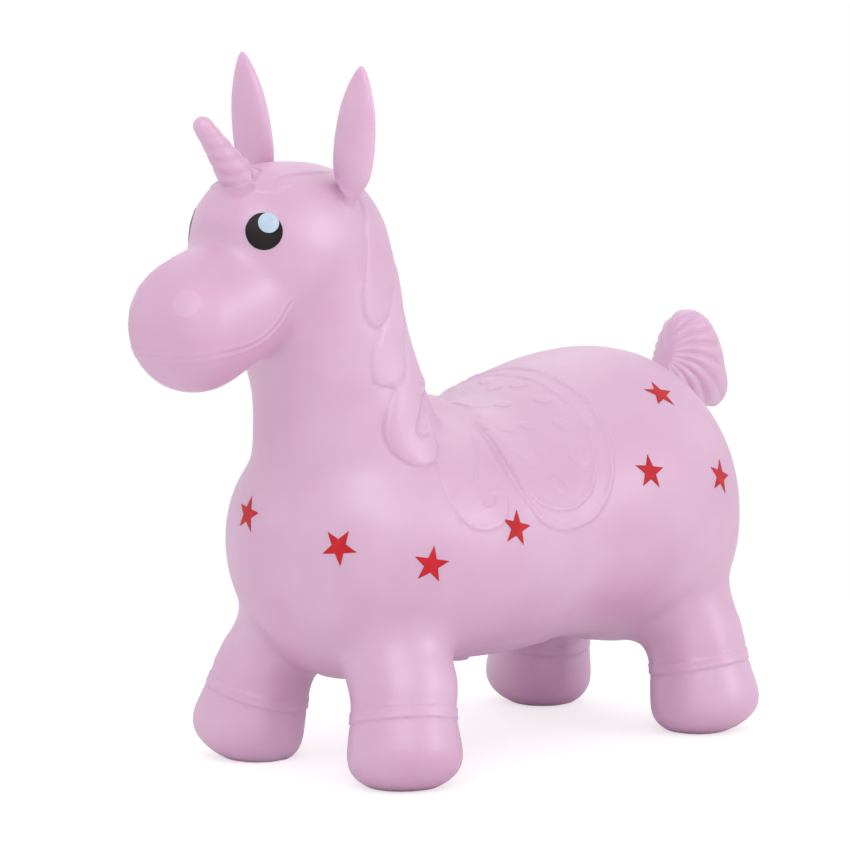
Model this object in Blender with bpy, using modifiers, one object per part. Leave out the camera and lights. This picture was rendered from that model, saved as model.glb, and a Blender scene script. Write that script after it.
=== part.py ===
"""Inflatable bouncy ride-on unicorn: a one-piece soft PVC skin with its belly stopper and its printed eyes and stars.

Run with: blender --background --python part.py
Metres, +Z up. The animal faces -X, its left side faces -Y, and it stands on the plane Z = 0.
"""

import math

import bmesh
import bpy
from mathutils import Matrix, Vector
from mathutils.bvhtree import BVHTree

# Frame: the middle of the stance lies this far behind the origin, which is midway between nose and tail
STANCE_X = 0.0263

# Stance: how far the sole centres stand apart, lengthwise and across
WHEELBASE = 0.3073
FRONT_TRACK = 0.172
HIND_TRACK = 0.180

# Trunk
TRUNK_LENGTH = 0.406
TRUNK_WIDTH = 0.236
TRUNK_BEHIND_STANCE = 0.0026
BACK_HEIGHT = 0.276
BELLY_HEIGHT = 0.072

# Neck, from its root in the trunk up to the head
NECK_ROOT_AHEAD = 0.1109
NECK_ROOT_HEIGHT = 0.150
NECK_DEPTH = 0.112
NECK_WIDTH = 0.120

# Head and muzzle
HEAD_AHEAD = 0.1879
HEAD_HEIGHT = 0.370
HEAD_LENGTH = 0.136
HEAD_DEPTH = 0.114
HEAD_WIDTH = 0.110
MUZZLE_REACH = 0.1250
MUZZLE_DROP = 0.047
MUZZLE_WIDTH = 0.088
MUZZLE_DEPTH = 0.092

# Ears
EAR_LENGTH = 0.094
EAR_WIDTH = 0.0375
EAR_THICKNESS = 0.017
EAR_SPREAD = 0.0445
EAR_BEHIND_HEAD = 0.0180
EAR_SPLAY_DEG = 9.0
EAR_BACK_DEG = -1.5
EAR_ROOT_SHARE = 0.28
EAR_DISH_SHARE = 0.45

# Horn
HORN_LENGTH = 0.063
HORN_DIAMETER = 0.029
HORN_AHEAD_OF_HEAD = 0.0380
HORN_LEAN_DEG = 37.5
HORN_TURNS = 5
HORN_ROOT_SHARE = 0.355
HORN_THREAD_SHARE = 0.055

# Tail
TAIL_LENGTH = 0.100
TAIL_WIDTH = 0.046
TAIL_DEPTH = 0.050
TAIL_FLUTES = 8
TAIL_FLUTE_SHARE = 0.05

# Legs and hooves, along their leaning axes
LEG_LENGTH = 0.150
LEG_DIAMETER = 0.074
HOOF_DIAMETER = 0.0810
HOOF_HEIGHT = 0.0510
FRONT_LEG_SPLAY_DEG = 14.5
HIND_LEG_SPLAY_DEG = 11.0
FRONT_LEG_RAKE_DEG = 6.5
HIND_LEG_RAKE_DEG = 5.0
BAND_DIAMETER = 0.0710
BAND_PITCH = 0.0056

# Wall of the skin, and how far its moulded relief stands out
WALL = 0.0030
FLAP_RISE = 0.0010
SADDLE_RISE = 0.0018
SEAT_RISE = 0.0026
MANE_RISE = 0.0028
FORELOCK_RISE = 0.0014
BAND_RISE = 0.0020
PAD_RISE = 0.0014
DIMPLE_LENGTH = 0.0145
DIMPLE_WIDTH = 0.0095
DIMPLE_RISE = 0.0012
DIMPLE_TURN_DEG = 60.0

# Mouth and nostrils
MOUTH_WIDTH = 0.0028
NOSTRIL_DIAMETER = 0.0150
NOSTRIL_DEPTH = 0.0014

# Belly pad, valve and stopper
PAD_DIAMETER = 0.140
VALVE_AHEAD = 0.0309
BOSS_DIAMETER = 0.030
BOSS_RISE = 0.0030
COLLAR_DIAMETER = 0.0190
COLLAR_LENGTH = 0.0130
BORE_DIAMETER = 0.0090
RECESS_DIAMETER = 0.0180
RECESS_DEPTH = 0.0024
STOPPER_LENGTH = 0.0230
STOPPER_PROUD = 0.0008
STOPPER_HOLLOW_DIAMETER = 0.0036
STOPPER_HOLLOW_DEPTH = 0.0140
STOPPER_RIBS = 3
STOPPER_NECK_SHARE = 0.88
STOPPER_TIP_SHARE = 0.60

# Prints
EYE_DIAMETER = 0.0258
GLINT_DIAMETER = 0.0128
STAR_RADIUS = 0.0132
STAR_POINTS = 5
STAR_WAIST_SHARE = 0.40
INK = 0.0004

# Clearances that keep touching pieces apart: between solid pieces, and under the middle of a faceted film of ink
GAP = 0.0003
INK_GAP = 0.0004

# Meshes
GRAIN = 0.0045
BLEND_PASSES = 14
SKIN_SHARE = 0.041
CAVITY_SHARE = 0.40
SEGMENTS = 24
FINE_SEGMENTS = 16
MEET = 0.00001
SOLE_PRESS = 0.0006
SOFT_DEG = 38.0

# Trunk sections from the chest to the rump: place along the trunk, top and bottom between belly and back, width.
TRUNK_SHARES = (
    (0.000, 0.46, 0.40, 0.06),
    (0.012, 0.62, 0.24, 0.34),
    (0.045, 0.75, 0.09, 0.58),
    (0.110, 0.83, 0.00, 0.80),
    (0.220, 0.865, -0.035, 0.94),
    (0.350, 0.847, -0.015, 0.97),
    (0.460, 0.852, -0.02, 0.97),
    (0.560, 0.940, -0.01, 0.99),
    (0.660, 0.990, -0.01, 1.00),
    (0.760, 1.010, -0.05, 1.00),
    (0.850, 0.990, -0.07, 0.95),
    (0.920, 0.910, -0.03, 0.82),
    (0.965, 0.790, 0.07, 0.63),
    (0.990, 0.655, 0.20, 0.38),
    (1.000, 0.500, 0.36, 0.06),
)
# Neck sections from its root to the head: way along X, way up, depth, width.
NECK_SHARES = (
    (0.00, 0.00, 1.50, 1.52),
    (0.22, 0.30, 1.17, 1.24),
    (0.42, 0.57, 1.00, 1.00),
    (0.66, 0.80, 1.04, 0.93),
    (0.80, 1.00, 1.03, 0.86),
)
# Head sections from the poll to the brow: place along the head from its middle, height, depth, width.
HEAD_SHARES = (
    (0.500, -0.14, 0.10, 0.10),
    (0.485, -0.16, 0.34, 0.34),
    (0.440, -0.14, 0.58, 0.58),
    (0.340, -0.08, 0.78, 0.77),
    (0.180, -0.01, 0.95, 0.93),
    (0.000, 0.00, 1.00, 1.00),
    (-0.180, 0.00, 0.98, 0.96),
    (-0.340, 0.00, 0.84, 0.82),
    (-0.440, -0.01, 0.60, 0.60),
    (-0.485, -0.02, 0.34, 0.36),
    (-0.500, -0.02, 0.10, 0.10),
)
# Muzzle sections from inside the head to the nose: way out, way down, depth, width.
MUZZLE_SHARES = (
    (0.05, 0.30, 0.95, 0.95),
    (0.35, 0.70, 0.95, 0.98),
    (0.55, 0.88, 0.96, 0.98),
    (0.70, 1.02, 0.98, 1.00),
    (0.82, 1.11, 0.90, 0.95),
    (0.92, 1.16, 0.70, 0.76),
    (0.98, 1.18, 0.40, 0.44),
    (1.00, 1.19, 0.10, 0.10),
)
# Leg sections from the trunk down to the hoof band: way up the leg's axis, diameter.
LEG_SHARES = (
    (1.00, 0.64),
    (0.84, 0.69),
    (0.68, 0.79),
    (0.54, 0.92),
    (0.44, 0.99),
)
# Hoof sections from the band down to the sole: way up the axis over HOOF_HEIGHT, diameter over HOOF_DIAMETER.
HOOF_SHARES = (
    (1.00, 0.86),
    (0.90, 0.90),
    (0.62, 0.95),
    (0.42, 1.00),
    (0.26, 0.96),
    (0.13, 0.84),
    (0.03, 0.65),
    (-0.04, 0.42),
    (-0.06, 0.10),
)

# Sections across the two ribs at the top of a hoof: way along the leg over BAND_PITCH, rise over BAND_RISE.
BAND_SHARES = (
    (-1.10, -1.20),
    (-0.50, 1.00),
    (0.00, 0.25),
    (0.50, 1.00),
    (1.10, -1.20),
)
# One rib of the stopper's stem: way along the rib's pitch, and 1 on the rib or 0 on the neck between ribs.
RIB_SHARES = (
    (0.35, 1),
    (0.50, 0),
    (0.85, 0),
    (1.00, 1),
)
# Ear sections from the root to the tip: way up, width, thickness.
EAR_SHARES = (
    (-0.14, 0.30, 0.45),
    (-0.02, 0.52, 0.80),
    (0.12, 0.84, 0.98),
    (0.28, 1.00, 1.00),
    (0.48, 1.00, 0.92),
    (0.68, 0.87, 0.78),
    (0.85, 0.60, 0.56),
    (0.96, 0.30, 0.32),
    (1.00, 0.10, 0.12),
)
# Horn sections from the root to the tip: way up, droop of the axis to the front, diameter.
HORN_SHARES = (
    (-0.12, 0.00, 1.12),
    (0.08, 0.00, 0.97),
    (0.30, 0.00, 0.78),
    (0.55, 0.00, 0.63),
    (0.80, 0.02, 0.52),
    (0.93, 0.05, 0.48),
    (0.985, 0.07, 0.34),
    (1.00, 0.075, 0.11),
)
# Tail sections from the root to the tip, over TAIL_LENGTH, TAIL_DEPTH and TAIL_WIDTH: back, up, depth, width.
TAIL_SHARES = (
    (0.000, 0.000, 0.44, 0.52),
    (0.280, 0.180, 0.40, 0.52),
    (0.360, 0.300, 0.68, 0.80),
    (0.460, 0.360, 0.86, 0.92),
    (0.590, 0.310, 0.90, 0.95),
    (0.675, 0.190, 0.86, 0.98),
    (0.715, 0.045, 0.67, 0.88),
    (0.715, -0.070, 0.38, 0.56),
    (0.705, -0.125, 0.10, 0.14),
)
# The tail's root: place along the trunk, height between belly and back.
TAIL_ROOT_SHARES = (0.915, 0.794)
# Outlines seen from the side: place along the trunk, height between belly and back.
SADDLE_SHARES = (
    (0.425, 1.15),
    (0.420, 0.93),
    (0.402, 0.88),
    (0.368, 0.82),
    (0.338, 0.72),
    (0.337, 0.62),
    (0.356, 0.555),
    (0.374, 0.518),
    (0.408, 0.488),
    (0.444, 0.474),
    (0.481, 0.491),
    (0.514, 0.532),
    (0.537, 0.589),
    (0.560, 0.669),
    (0.580, 0.748),
    (0.594, 0.827),
    (0.608, 0.900),
    (0.618, 0.950),
    (0.627, 1.15),
)
SEAT_SHARES = (
    (0.450, 1.15),
    (0.440, 0.92),
    (0.412, 0.88),
    (0.384, 0.828),
    (0.358, 0.778),
    (0.352, 0.686),
    (0.364, 0.620),
    (0.381, 0.580),
    (0.409, 0.557),
    (0.441, 0.548),
    (0.477, 0.577),
    (0.506, 0.623),
    (0.526, 0.670),
    (0.549, 0.735),
    (0.565, 0.802),
    (0.580, 0.880),
    (0.592, 0.940),
    (0.602, 1.15),
)
FLAP_SHARES = (
    (0.250, 1.15),
    (0.225, 0.90),
    (0.200, 0.80),
    (0.195, 0.725),
    (0.194, 0.678),
    (0.195, 0.615),
    (0.206, 0.555),
    (0.227, 0.519),
    (0.246, 0.506),
    (0.264, 0.530),
    (0.276, 0.570),
    (0.298, 0.630),
    (0.330, 0.720),
    (0.440, 0.80),
    (0.440, 1.15),
)
# Outline of the mane seen from the side: way ahead of the stance over HEAD_AHEAD, height over HEAD_HEIGHT.
MANE_SHARES = (
    (0.900, 1.120),
    (0.905, 1.078),
    (0.873, 1.058),
    (0.873, 1.013),
    (0.877, 0.958),
    (0.888, 0.913),
    (0.868, 0.875),
    (0.833, 0.852),
    (0.795, 0.862),
    (0.810, 0.837),
    (0.840, 0.801),
    (0.852, 0.764),
    (0.846, 0.736),
    (0.813, 0.726),
    (0.775, 0.738),
    (0.768, 0.722),
    (0.804, 0.699),
    (0.827, 0.666),
    (0.824, 0.639),
    (0.797, 0.616),
    (0.755, 0.599),
    (0.703, 0.592),
    (0.642, 0.604),
    (0.603, 0.623),
    (0.600, 0.652),
    (0.610, 0.690),
    (0.590, 0.725),
    (0.400, 0.760),
    (0.200, 0.900),
    (0.300, 1.120),
)
# Half outline of the forelock seen from above: way ahead of the head's middle over HEAD_LENGTH, half-width.
FORELOCK_SHARES = (
    (-0.30, 0.26),
    (-0.04, 0.31),
    (0.10, 0.35),
    (0.20, 0.42),
    (0.17, 0.55),
    (0.22, 0.62),
    (0.29, 0.55),
    (0.33, 0.40),
    (0.31, 0.26),
    (0.30, 0.00),
)
# Mouth line on the left from the nose to the cheek: ahead of the head's middle, aside, down, over MUZZLE_REACH,
# MUZZLE_WIDTH and MUZZLE_DROP.
MOUTH_SHARES = (
    (0.975, 0.000, 1.38),
    (0.935, 0.275, 1.39),
    (0.798, 0.444, 1.34),
    (0.602, 0.464, 1.23),
    (0.426, 0.465, 0.98),
    (0.335, 0.483, 0.72),
    (0.275, 0.492, 0.62),
)
NOSTRIL_SHARES = (0.905, 0.330, 0.70)
# Bumps of the seat: place along the trunk, aside over half of TRUNK_WIDTH, height between belly and back.
DIMPLE_SHARES = (
    (0.546, 0.120, 0.936),
    (0.535, 0.401, 0.890),
    (0.482, 0.236, 0.875),
    (0.446, 0.179, 0.858),
    (0.467, 0.502, 0.814),
    (0.520, 0.625, 0.815),
    (0.407, 0.511, 0.798),
    (0.396, 0.747, 0.715),
    (0.440, 0.745, 0.721),
    (0.500, 0.822, 0.700),
    (0.430, 0.878, 0.634),
)
# Eye on the left: ahead of the head's middle over HEAD_LENGTH, aside over HEAD_WIDTH, up over HEAD_DEPTH.
EYE_SHARES = (0.399, 0.332, 0.127)
# The glint's way aside and up from the eye's middle, over EYE_DIAMETER.
GLINT_SHARES = (0.125, 0.210)
# Stars: name, side (-1 left, 1 right), place along the trunk, height between belly and back, way round from
# straight ahead in degrees, turn of the star in degrees.
STARS = (
    ("star_chest_left", -1, 0.323, 0.469, 24.0, 31.0),
    ("star_chest_right", 1, 0.381, 0.540, 12.0, 8.0),
    ("star_shoulder_left", -1, 0.252, 0.410, 64.0, 10.0),
    ("star_shoulder_right", 1, 0.252, 0.410, 64.0, -10.0),
    ("star_girth_left", -1, 0.317, 0.505, 88.0, 16.0),
    ("star_girth_right", 1, 0.317, 0.505, 88.0, -16.0),
    ("star_flank_left", -1, 0.630, 0.634, 92.0, 9.0),
    ("star_flank_right", 1, 0.630, 0.634, 92.0, -9.0),
    ("star_croup_left", -1, 0.748, 0.873, 92.0, 11.0),
    ("star_croup_right", 1, 0.748, 0.873, 92.0, -11.0),
    ("star_thigh_left", -1, 0.752, 0.582, 105.0, 20.0),
    ("star_thigh_right", 1, 0.752, 0.582, 105.0, -20.0),
)


def clear_scene():
    for obj in list(bpy.data.objects):
        bpy.data.objects.remove(obj)


def new_collection(name):
    collection = bpy.data.collections.new(name)
    bpy.context.scene.collection.children.link(collection)
    return collection


def smooth_run(stations, steps, closed=False):
    """More stations between the given ones, on a Catmull-Rom curve through them."""
    count = len(stations)
    run = []
    for i in range(count if closed else count - 1):
        near = [k % count if closed else min(max(k, 0), count - 1) for k in (i - 1, i, i + 1, i + 2)]
        before, here, there, after = (stations[k] for k in near)
        for k in range(steps):
            t = k / steps
            run.append(tuple(
                0.5 * (2 * b + (c - a) * t + (2 * a - 5 * b + 4 * c - d) * t**2 + (3 * b - a - 3 * c + d) * t**3)
                for a, b, c, d in zip(before, here, there, after)
            ))
    return run if closed else run + [tuple(stations[-1])]


def add_loft(bm, rings, segments=SEGMENTS, swell=None):
    """Adds a closed tube through rings of (centre, across, up), each axis as long as the ring's half-size.

    swell(angle, way) scales the ring at an angle round it and a way from 0 to 1 along the tube.
    """
    loops = []
    for index, (centre, across, up) in enumerate(rings):
        way = index / (len(rings) - 1)
        place = Matrix((
            (across.x, up.x, 0, centre.x),
            (across.y, up.y, 0, centre.y),
            (across.z, up.z, 0, centre.z),
            (0, 0, 0, 1),
        ))
        verts = bmesh.ops.create_circle(bm, radius=1, segments=segments)["verts"]
        for vert in verts:
            size = swell(math.atan2(vert.co.y, vert.co.x), way) if swell else 1
            vert.co = place @ (vert.co * size)
        loops.append((verts, {e for v in verts for e in v.link_edges}))
    for (_, edges_a), (_, edges_b) in zip(loops, loops[1:]):
        bmesh.ops.bridge_loops(bm, edges=list(edges_a | edges_b))
    for verts, _ in (loops[0], loops[-1]):
        bm.faces.new(verts)


def add_path_loft(bm, stations, steps=3, segments=SEGMENTS, swell=None, width_axis=(0, 1, 0)):
    """Adds a tube whose stations are (x, y, z, depth, width), each ring square to the path."""
    run = smooth_run(stations, steps)
    points = [Vector(s[:3]) for s in run]
    rings = []
    for i, (point, station) in enumerate(zip(points, run)):
        along = (points[min(i + 1, len(points) - 1)] - points[max(i - 1, 0)]).normalized()
        side = Vector(width_axis)
        side = (side - along * side.dot(along)).normalized()
        up = along.cross(side)
        rings.append((point, side * station[4] / 2, up * station[3] / 2))
    add_loft(bm, rings, segments, swell)


def add_trunk(bm):
    depth = BACK_HEIGHT - BELLY_HEIGHT
    rings = []
    for along, top, bottom, width in smooth_run(TRUNK_SHARES, 3):
        middle = BELLY_HEIGHT + depth * (top + bottom) / 2
        centre = Vector((trunk_x(along), 0, middle))
        rings.append((centre, Vector((0, TRUNK_WIDTH * width / 2, 0)), Vector((0, 0, depth * (top - bottom) / 2))))
    add_loft(bm, rings, segments=48)


def trunk_x(along):
    return STANCE_X + TRUNK_BEHIND_STANCE + (along - 0.5) * TRUNK_LENGTH


def trunk_z(up):
    return BELLY_HEIGHT + (BACK_HEIGHT - BELLY_HEIGHT) * up


def head_x(ahead):
    return STANCE_X - HEAD_AHEAD - ahead


def add_neck(bm):
    root = STANCE_X - NECK_ROOT_AHEAD
    reach = head_x(0) - root
    rise = HEAD_HEIGHT - NECK_ROOT_HEIGHT
    stations = [
        (root + reach * out, 0, NECK_ROOT_HEIGHT + rise * up, NECK_DEPTH * depth, NECK_WIDTH * width)
        for out, up, depth, width in NECK_SHARES
    ]
    add_path_loft(bm, stations)


def add_head(bm):
    stations = [
        (
            head_x(-HEAD_LENGTH * along),
            0,
            HEAD_HEIGHT + HEAD_DEPTH * up,
            HEAD_DEPTH * depth,
            HEAD_WIDTH * width,
        )
        for along, up, depth, width in HEAD_SHARES
    ]
    add_path_loft(bm, stations)
    stations = [
        (
            head_x(MUZZLE_REACH * out),
            0,
            HEAD_HEIGHT - MUZZLE_DROP * down,
            MUZZLE_DEPTH * depth,
            MUZZLE_WIDTH * width,
        )
        for out, down, depth, width in MUZZLE_SHARES
    ]
    add_path_loft(bm, stations)


def leg_lean(fore, side):
    """How a leg's axis runs sideways for each metre up; fore is -1 in front, side is -1 on the left."""
    rake = FRONT_LEG_RAKE_DEG if fore < 0 else HIND_LEG_RAKE_DEG
    splay = FRONT_LEG_SPLAY_DEG if fore < 0 else HIND_LEG_SPLAY_DEG
    return Vector((-fore * math.tan(math.radians(rake)), -side * math.tan(math.radians(splay)), 1))


def leg_point(fore, side, height):
    track = FRONT_TRACK if fore < 0 else HIND_TRACK
    sole = Vector((STANCE_X + fore * WHEELBASE / 2, side * track / 2, 0))
    return sole + leg_lean(fore, side) * height


def add_leg(bm, fore, side):
    stations = [(LEG_LENGTH * up, LEG_DIAMETER * wide) for up, wide in LEG_SHARES]
    stations += [(HOOF_HEIGHT * up, HOOF_DIAMETER * wide) for up, wide in HOOF_SHARES]
    path = []
    for height, wide in stations:
        x, y, z = leg_point(fore, side, height)
        path.append((x, y, z, wide, wide))
    add_path_loft(bm, path)


def mesh_object(name, bm, collection):
    bmesh.ops.recalc_face_normals(bm, faces=bm.faces)
    mesh = bpy.data.meshes.new(name)
    bm.to_mesh(mesh)
    bm.free()
    obj = bpy.data.objects.new(name, mesh)
    collection.objects.link(obj)
    return obj


def baked(obj):
    """A new mesh with the object's modifiers applied; the object itself goes."""
    mesh = bpy.data.meshes.new_from_object(obj.evaluated_get(bpy.context.evaluated_depsgraph_get()))
    bpy.data.objects.remove(obj)
    return mesh


def smooth_form(collection):
    """The animal without relief, as one blended skin, and with its soles pressed flat on the ground."""
    bm = bmesh.new()
    add_trunk(bm)
    add_neck(bm)
    add_head(bm)
    for fore in (-1, 1):
        for side in (-1, 1):
            add_leg(bm, fore, side)
    form = mesh_object("form", bm, collection)
    blend = form.modifiers.new("one_skin", "REMESH")
    blend.mode = "VOXEL"
    blend.voxel_size = GRAIN
    relax = form.modifiers.new("blend", "SMOOTH")
    relax.factor = 0.5
    relax.iterations = BLEND_PASSES
    bm = bmesh.new()
    bm.from_mesh(baked(form))
    cut_off(bm, (0, 0, -1))
    bmesh.ops.holes_fill(bm, edges=[e for e in bm.edges if e.is_boundary])
    return two_halves(bm, SKIN_SHARE, collection)


def cut_off(bm, toward):
    """Cuts away what lies beyond the origin in a direction."""
    everything = bm.verts[:] + bm.edges[:] + bm.faces[:]
    bmesh.ops.bisect_plane(bm, geom=everything, plane_co=(0, 0, 0), plane_no=toward, clear_outer=True)


def two_halves(bm, share, collection):
    """Keeps the left half with a share of its faces and mirrors it, so both sides of the mould are alike."""
    cut_off(bm, (0, 1, 0))
    half = mesh_object("half", bm, collection)
    fewer = half.modifiers.new("fewer_faces", "DECIMATE")
    fewer.ratio = share
    mesh = baked(half)
    for vert in mesh.vertices:
        for axis, reach in ((1, GAP), (2, SOLE_PRESS)):
            if abs(vert.co[axis]) < reach:
                vert.co[axis] = 0
    half = bpy.data.objects.new("half", mesh)
    collection.objects.link(half)
    mirror = half.modifiers.new("other_side", "MIRROR")
    mirror.use_axis = (False, True, False)
    mirror.merge_threshold = MEET
    return baked(half)


def combine(obj, other, operation):
    step = obj.modifiers.new(other.name, "BOOLEAN")
    step.operation = operation
    step.solver = "EXACT"
    step.object = other
    step.use_self = False
    other.hide_render = True
    other.display_type = "WIRE"


def swollen_form(name, form, rise, collection):
    """The smooth form grown outward by rise all over, or shrunk inward when rise is negative."""
    obj = bpy.data.objects.new(name, form.copy())
    collection.objects.link(obj)
    grow = obj.modifiers.new("grow", "DISPLACE")
    grow.strength = rise
    grow.mid_level = 0
    return obj


def prism(name, corners, sweep, collection):
    """A solid swept from a closed outline of points."""
    bm = bmesh.new()
    face = bm.faces.new([bm.verts.new(corner) for corner in corners])
    moved = bmesh.ops.extrude_face_region(bm, geom=[face])["geom"]
    bmesh.ops.translate(bm, vec=sweep, verts=[v for v in moved if isinstance(v, bmesh.types.BMVert)])
    return mesh_object(name, bm, collection)


def side_prism(name, outline, collection):
    """A solid across the whole animal, from an outline of (x, z) seen from the side."""
    corners = [Vector((x, -TRUNK_WIDTH, z)) for x, z in smooth_run(outline, 2, closed=True)]
    return prism(name, corners, Vector((0, 2 * TRUNK_WIDTH, 0)), collection)


def raised(skin, form, name, outline, rise, collection):
    """Moulds an outlined area of the skin outward by rise."""
    area = swollen_form(name, form, rise, collection)
    combine(area, outline, "INTERSECT")
    combine(skin, area, "UNION")


def add_saddle(skin, form, cutters):
    for name, shares, rise in (
        ("flap", FLAP_SHARES, FLAP_RISE),
        ("saddle", SADDLE_SHARES, SADDLE_RISE),
        ("seat", SEAT_SHARES, SEAT_RISE),
    ):
        outline = [(trunk_x(along), trunk_z(up)) for along, up in shares]
        raised(skin, form, name, side_prism(name + "_outline", outline, cutters), rise, cutters)


def add_hair(skin, form, cutters):
    outline = [(STANCE_X - HEAD_AHEAD * ahead, HEAD_HEIGHT * up) for ahead, up in MANE_SHARES]
    raised(skin, form, "mane", side_prism("mane_outline", outline, cutters), MANE_RISE, cutters)
    left = [(head_x(HEAD_LENGTH * ahead), -HEAD_WIDTH / 2 * aside) for ahead, aside in FORELOCK_SHARES]
    half = smooth_run(left, 2)
    corners = [Vector((x, y, HEAD_HEIGHT)) for x, y in half]
    corners += [Vector((x, -y, HEAD_HEIGHT)) for x, y in reversed(half[:-1])]
    outline = prism("forelock_outline", corners, Vector((0, 0, HEAD_DEPTH)), cutters)
    raised(skin, form, "forelock", outline, FORELOCK_RISE, cutters)


def add_bands(skin, cutters):
    """Two ribs round the top of each hoof, square to the leg."""
    bm = bmesh.new()
    for fore in (-1, 1):
        for side in (-1, 1):
            lean = leg_lean(fore, side)
            path = []
            for way, rise in BAND_SHARES:
                x, y, z = leg_point(fore, side, HOOF_HEIGHT + BAND_PITCH * way / lean.length)
                wide = BAND_DIAMETER + 2 * BAND_RISE * rise
                path.append((x, y, z, wide, wide))
            add_path_loft(bm, path, steps=1)
    combine(skin, mesh_object("hoof_bands", bm, cutters), "UNION")


def add_ears(skin, cutters):
    bm = bmesh.new()
    for side in (-1, 1):
        lean_y = side * math.tan(math.radians(EAR_SPLAY_DEG))
        lean_x = math.tan(math.radians(EAR_BACK_DEG))
        root = Vector((head_x(-EAR_BEHIND_HEAD), side * EAR_SPREAD, HEAD_HEIGHT + HEAD_DEPTH * EAR_ROOT_SHARE))
        stations = []
        for up, wide, thick in EAR_SHARES:
            x, y, z = root + Vector((lean_x, lean_y, 1)) * EAR_LENGTH * up
            stations.append((x, y, z, EAR_THICKNESS * thick, EAR_WIDTH * wide))
        add_path_loft(bm, stations, steps=2, segments=FINE_SEGMENTS - 4, swell=ear_dish)
    combine(skin, mesh_object("ears", bm, cutters), "UNION")


def ear_dish(angle, way):
    """Hollows the front of the ear, which is the lower half of each ring."""
    return 1 - EAR_DISH_SHARE * max(0, -math.sin(angle)) ** 2


def add_horn(skin, cutters):
    lean = math.radians(HORN_LEAN_DEG)
    axis = Vector((-math.sin(lean), 0, math.cos(lean)))
    ahead = Vector((-math.cos(lean), 0, -math.sin(lean)))
    root = Vector((head_x(HORN_AHEAD_OF_HEAD), 0, HEAD_HEIGHT + HEAD_DEPTH * HORN_ROOT_SHARE))
    stations = []
    for up, droop, wide in HORN_SHARES:
        x, y, z = root + axis * HORN_LENGTH * up + ahead * HORN_LENGTH * droop
        stations.append((x, y, z, HORN_DIAMETER * wide, HORN_DIAMETER * wide))
    bm = bmesh.new()
    add_path_loft(bm, stations, steps=3, segments=FINE_SEGMENTS - 4, swell=horn_thread)
    combine(skin, mesh_object("horn", bm, cutters), "UNION")


def horn_thread(angle, way):
    return 1 + HORN_THREAD_SHARE * math.cos(angle + 2 * math.pi * HORN_TURNS * way)


def add_tail(skin, cutters):
    along, above = TAIL_ROOT_SHARES
    stations = [
        (
            trunk_x(along) + TAIL_LENGTH * back,
            0,
            trunk_z(above) + TAIL_LENGTH * up,
            TAIL_DEPTH * depth,
            TAIL_WIDTH * wide,
        )
        for back, up, depth, wide in TAIL_SHARES
    ]
    bm = bmesh.new()
    add_path_loft(bm, stations, steps=2, segments=3 * TAIL_FLUTES, swell=tail_flutes)
    combine(skin, mesh_object("tail", bm, cutters), "UNION")


def tail_flutes(angle, way):
    return 1 + TAIL_FLUTE_SHARE * math.cos(TAIL_FLUTES * angle) * min(1, 3 * way)


def on_skin(tree, point):
    """The nearest place on the form, with the way it faces."""
    place, normal, _, _ = tree.find_nearest(Vector(point))
    return place, normal


def facing(place, normal, turn_deg=0):
    """A frame on the skin: its Z faces out, its Y points up and is then turned round Z, clockwise."""
    up = (Vector((0, 0, 1)) - normal * normal.z).normalized()
    side = up.cross(normal)
    turn = math.radians(turn_deg)
    ahead = up * math.cos(turn) + side * math.sin(turn)
    aside = side * math.cos(turn) - up * math.sin(turn)
    frame = Matrix((aside, ahead, normal)).transposed().to_4x4()
    return Matrix.Translation(place) @ frame


def add_dimples(skin, tree, cutters):
    """Low oval bumps on the seat, on both sides."""
    bm = bmesh.new()
    for along, aside, up in DIMPLE_SHARES:
        for side in (-1, 1):
            place, normal = on_skin(tree, (trunk_x(along), side * TRUNK_WIDTH / 2 * aside, trunk_z(up)))
            size = Matrix.Diagonal((DIMPLE_WIDTH / 2, DIMPLE_LENGTH / 2, DIMPLE_RISE, 1))
            place = facing(place + normal * SEAT_RISE, normal, side * DIMPLE_TURN_DEG) @ size
            bmesh.ops.create_uvsphere(bm, u_segments=8, v_segments=4, radius=1, matrix=place)
    combine(skin, mesh_object("dimples", bm, cutters), "UNION")


def add_face(skin, tree, cutters):
    """The mouth as a round groove from cheek to cheek, and the nostrils as shallow dishes."""
    points = []
    for side in (-1, 1):
        run = [
            on_skin(tree, (
                head_x(MUZZLE_REACH * ahead),
                side * MUZZLE_WIDTH * aside,
                HEAD_HEIGHT - MUZZLE_DROP * down,
            ))[0]
            for ahead, aside, down in smooth_run(MOUTH_SHARES, 3)
        ]
        points += reversed(run) if side < 0 else run[1:]
    stations = [tuple(p) + (MOUTH_WIDTH, MOUTH_WIDTH) for p in points]
    bm = bmesh.new()
    add_path_loft(bm, stations, steps=1, segments=6, width_axis=(0, 0, 1))
    combine(skin, mesh_object("mouth", bm, cutters), "DIFFERENCE")
    bm = bmesh.new()
    ahead, aside, down = NOSTRIL_SHARES
    for side in (-1, 1):
        at = (head_x(MUZZLE_REACH * ahead), side * MUZZLE_WIDTH * aside, HEAD_HEIGHT - MUZZLE_DROP * down)
        place, normal = on_skin(tree, at)
        size = Matrix.Diagonal((NOSTRIL_DIAMETER / 2, NOSTRIL_DIAMETER / 2, NOSTRIL_DEPTH, 1))
        place += normal * GAP
        bmesh.ops.create_uvsphere(bm, u_segments=14, v_segments=6, radius=1, matrix=facing(place, normal) @ size)
    combine(skin, mesh_object("nostrils", bm, cutters), "DIFFERENCE")


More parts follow.
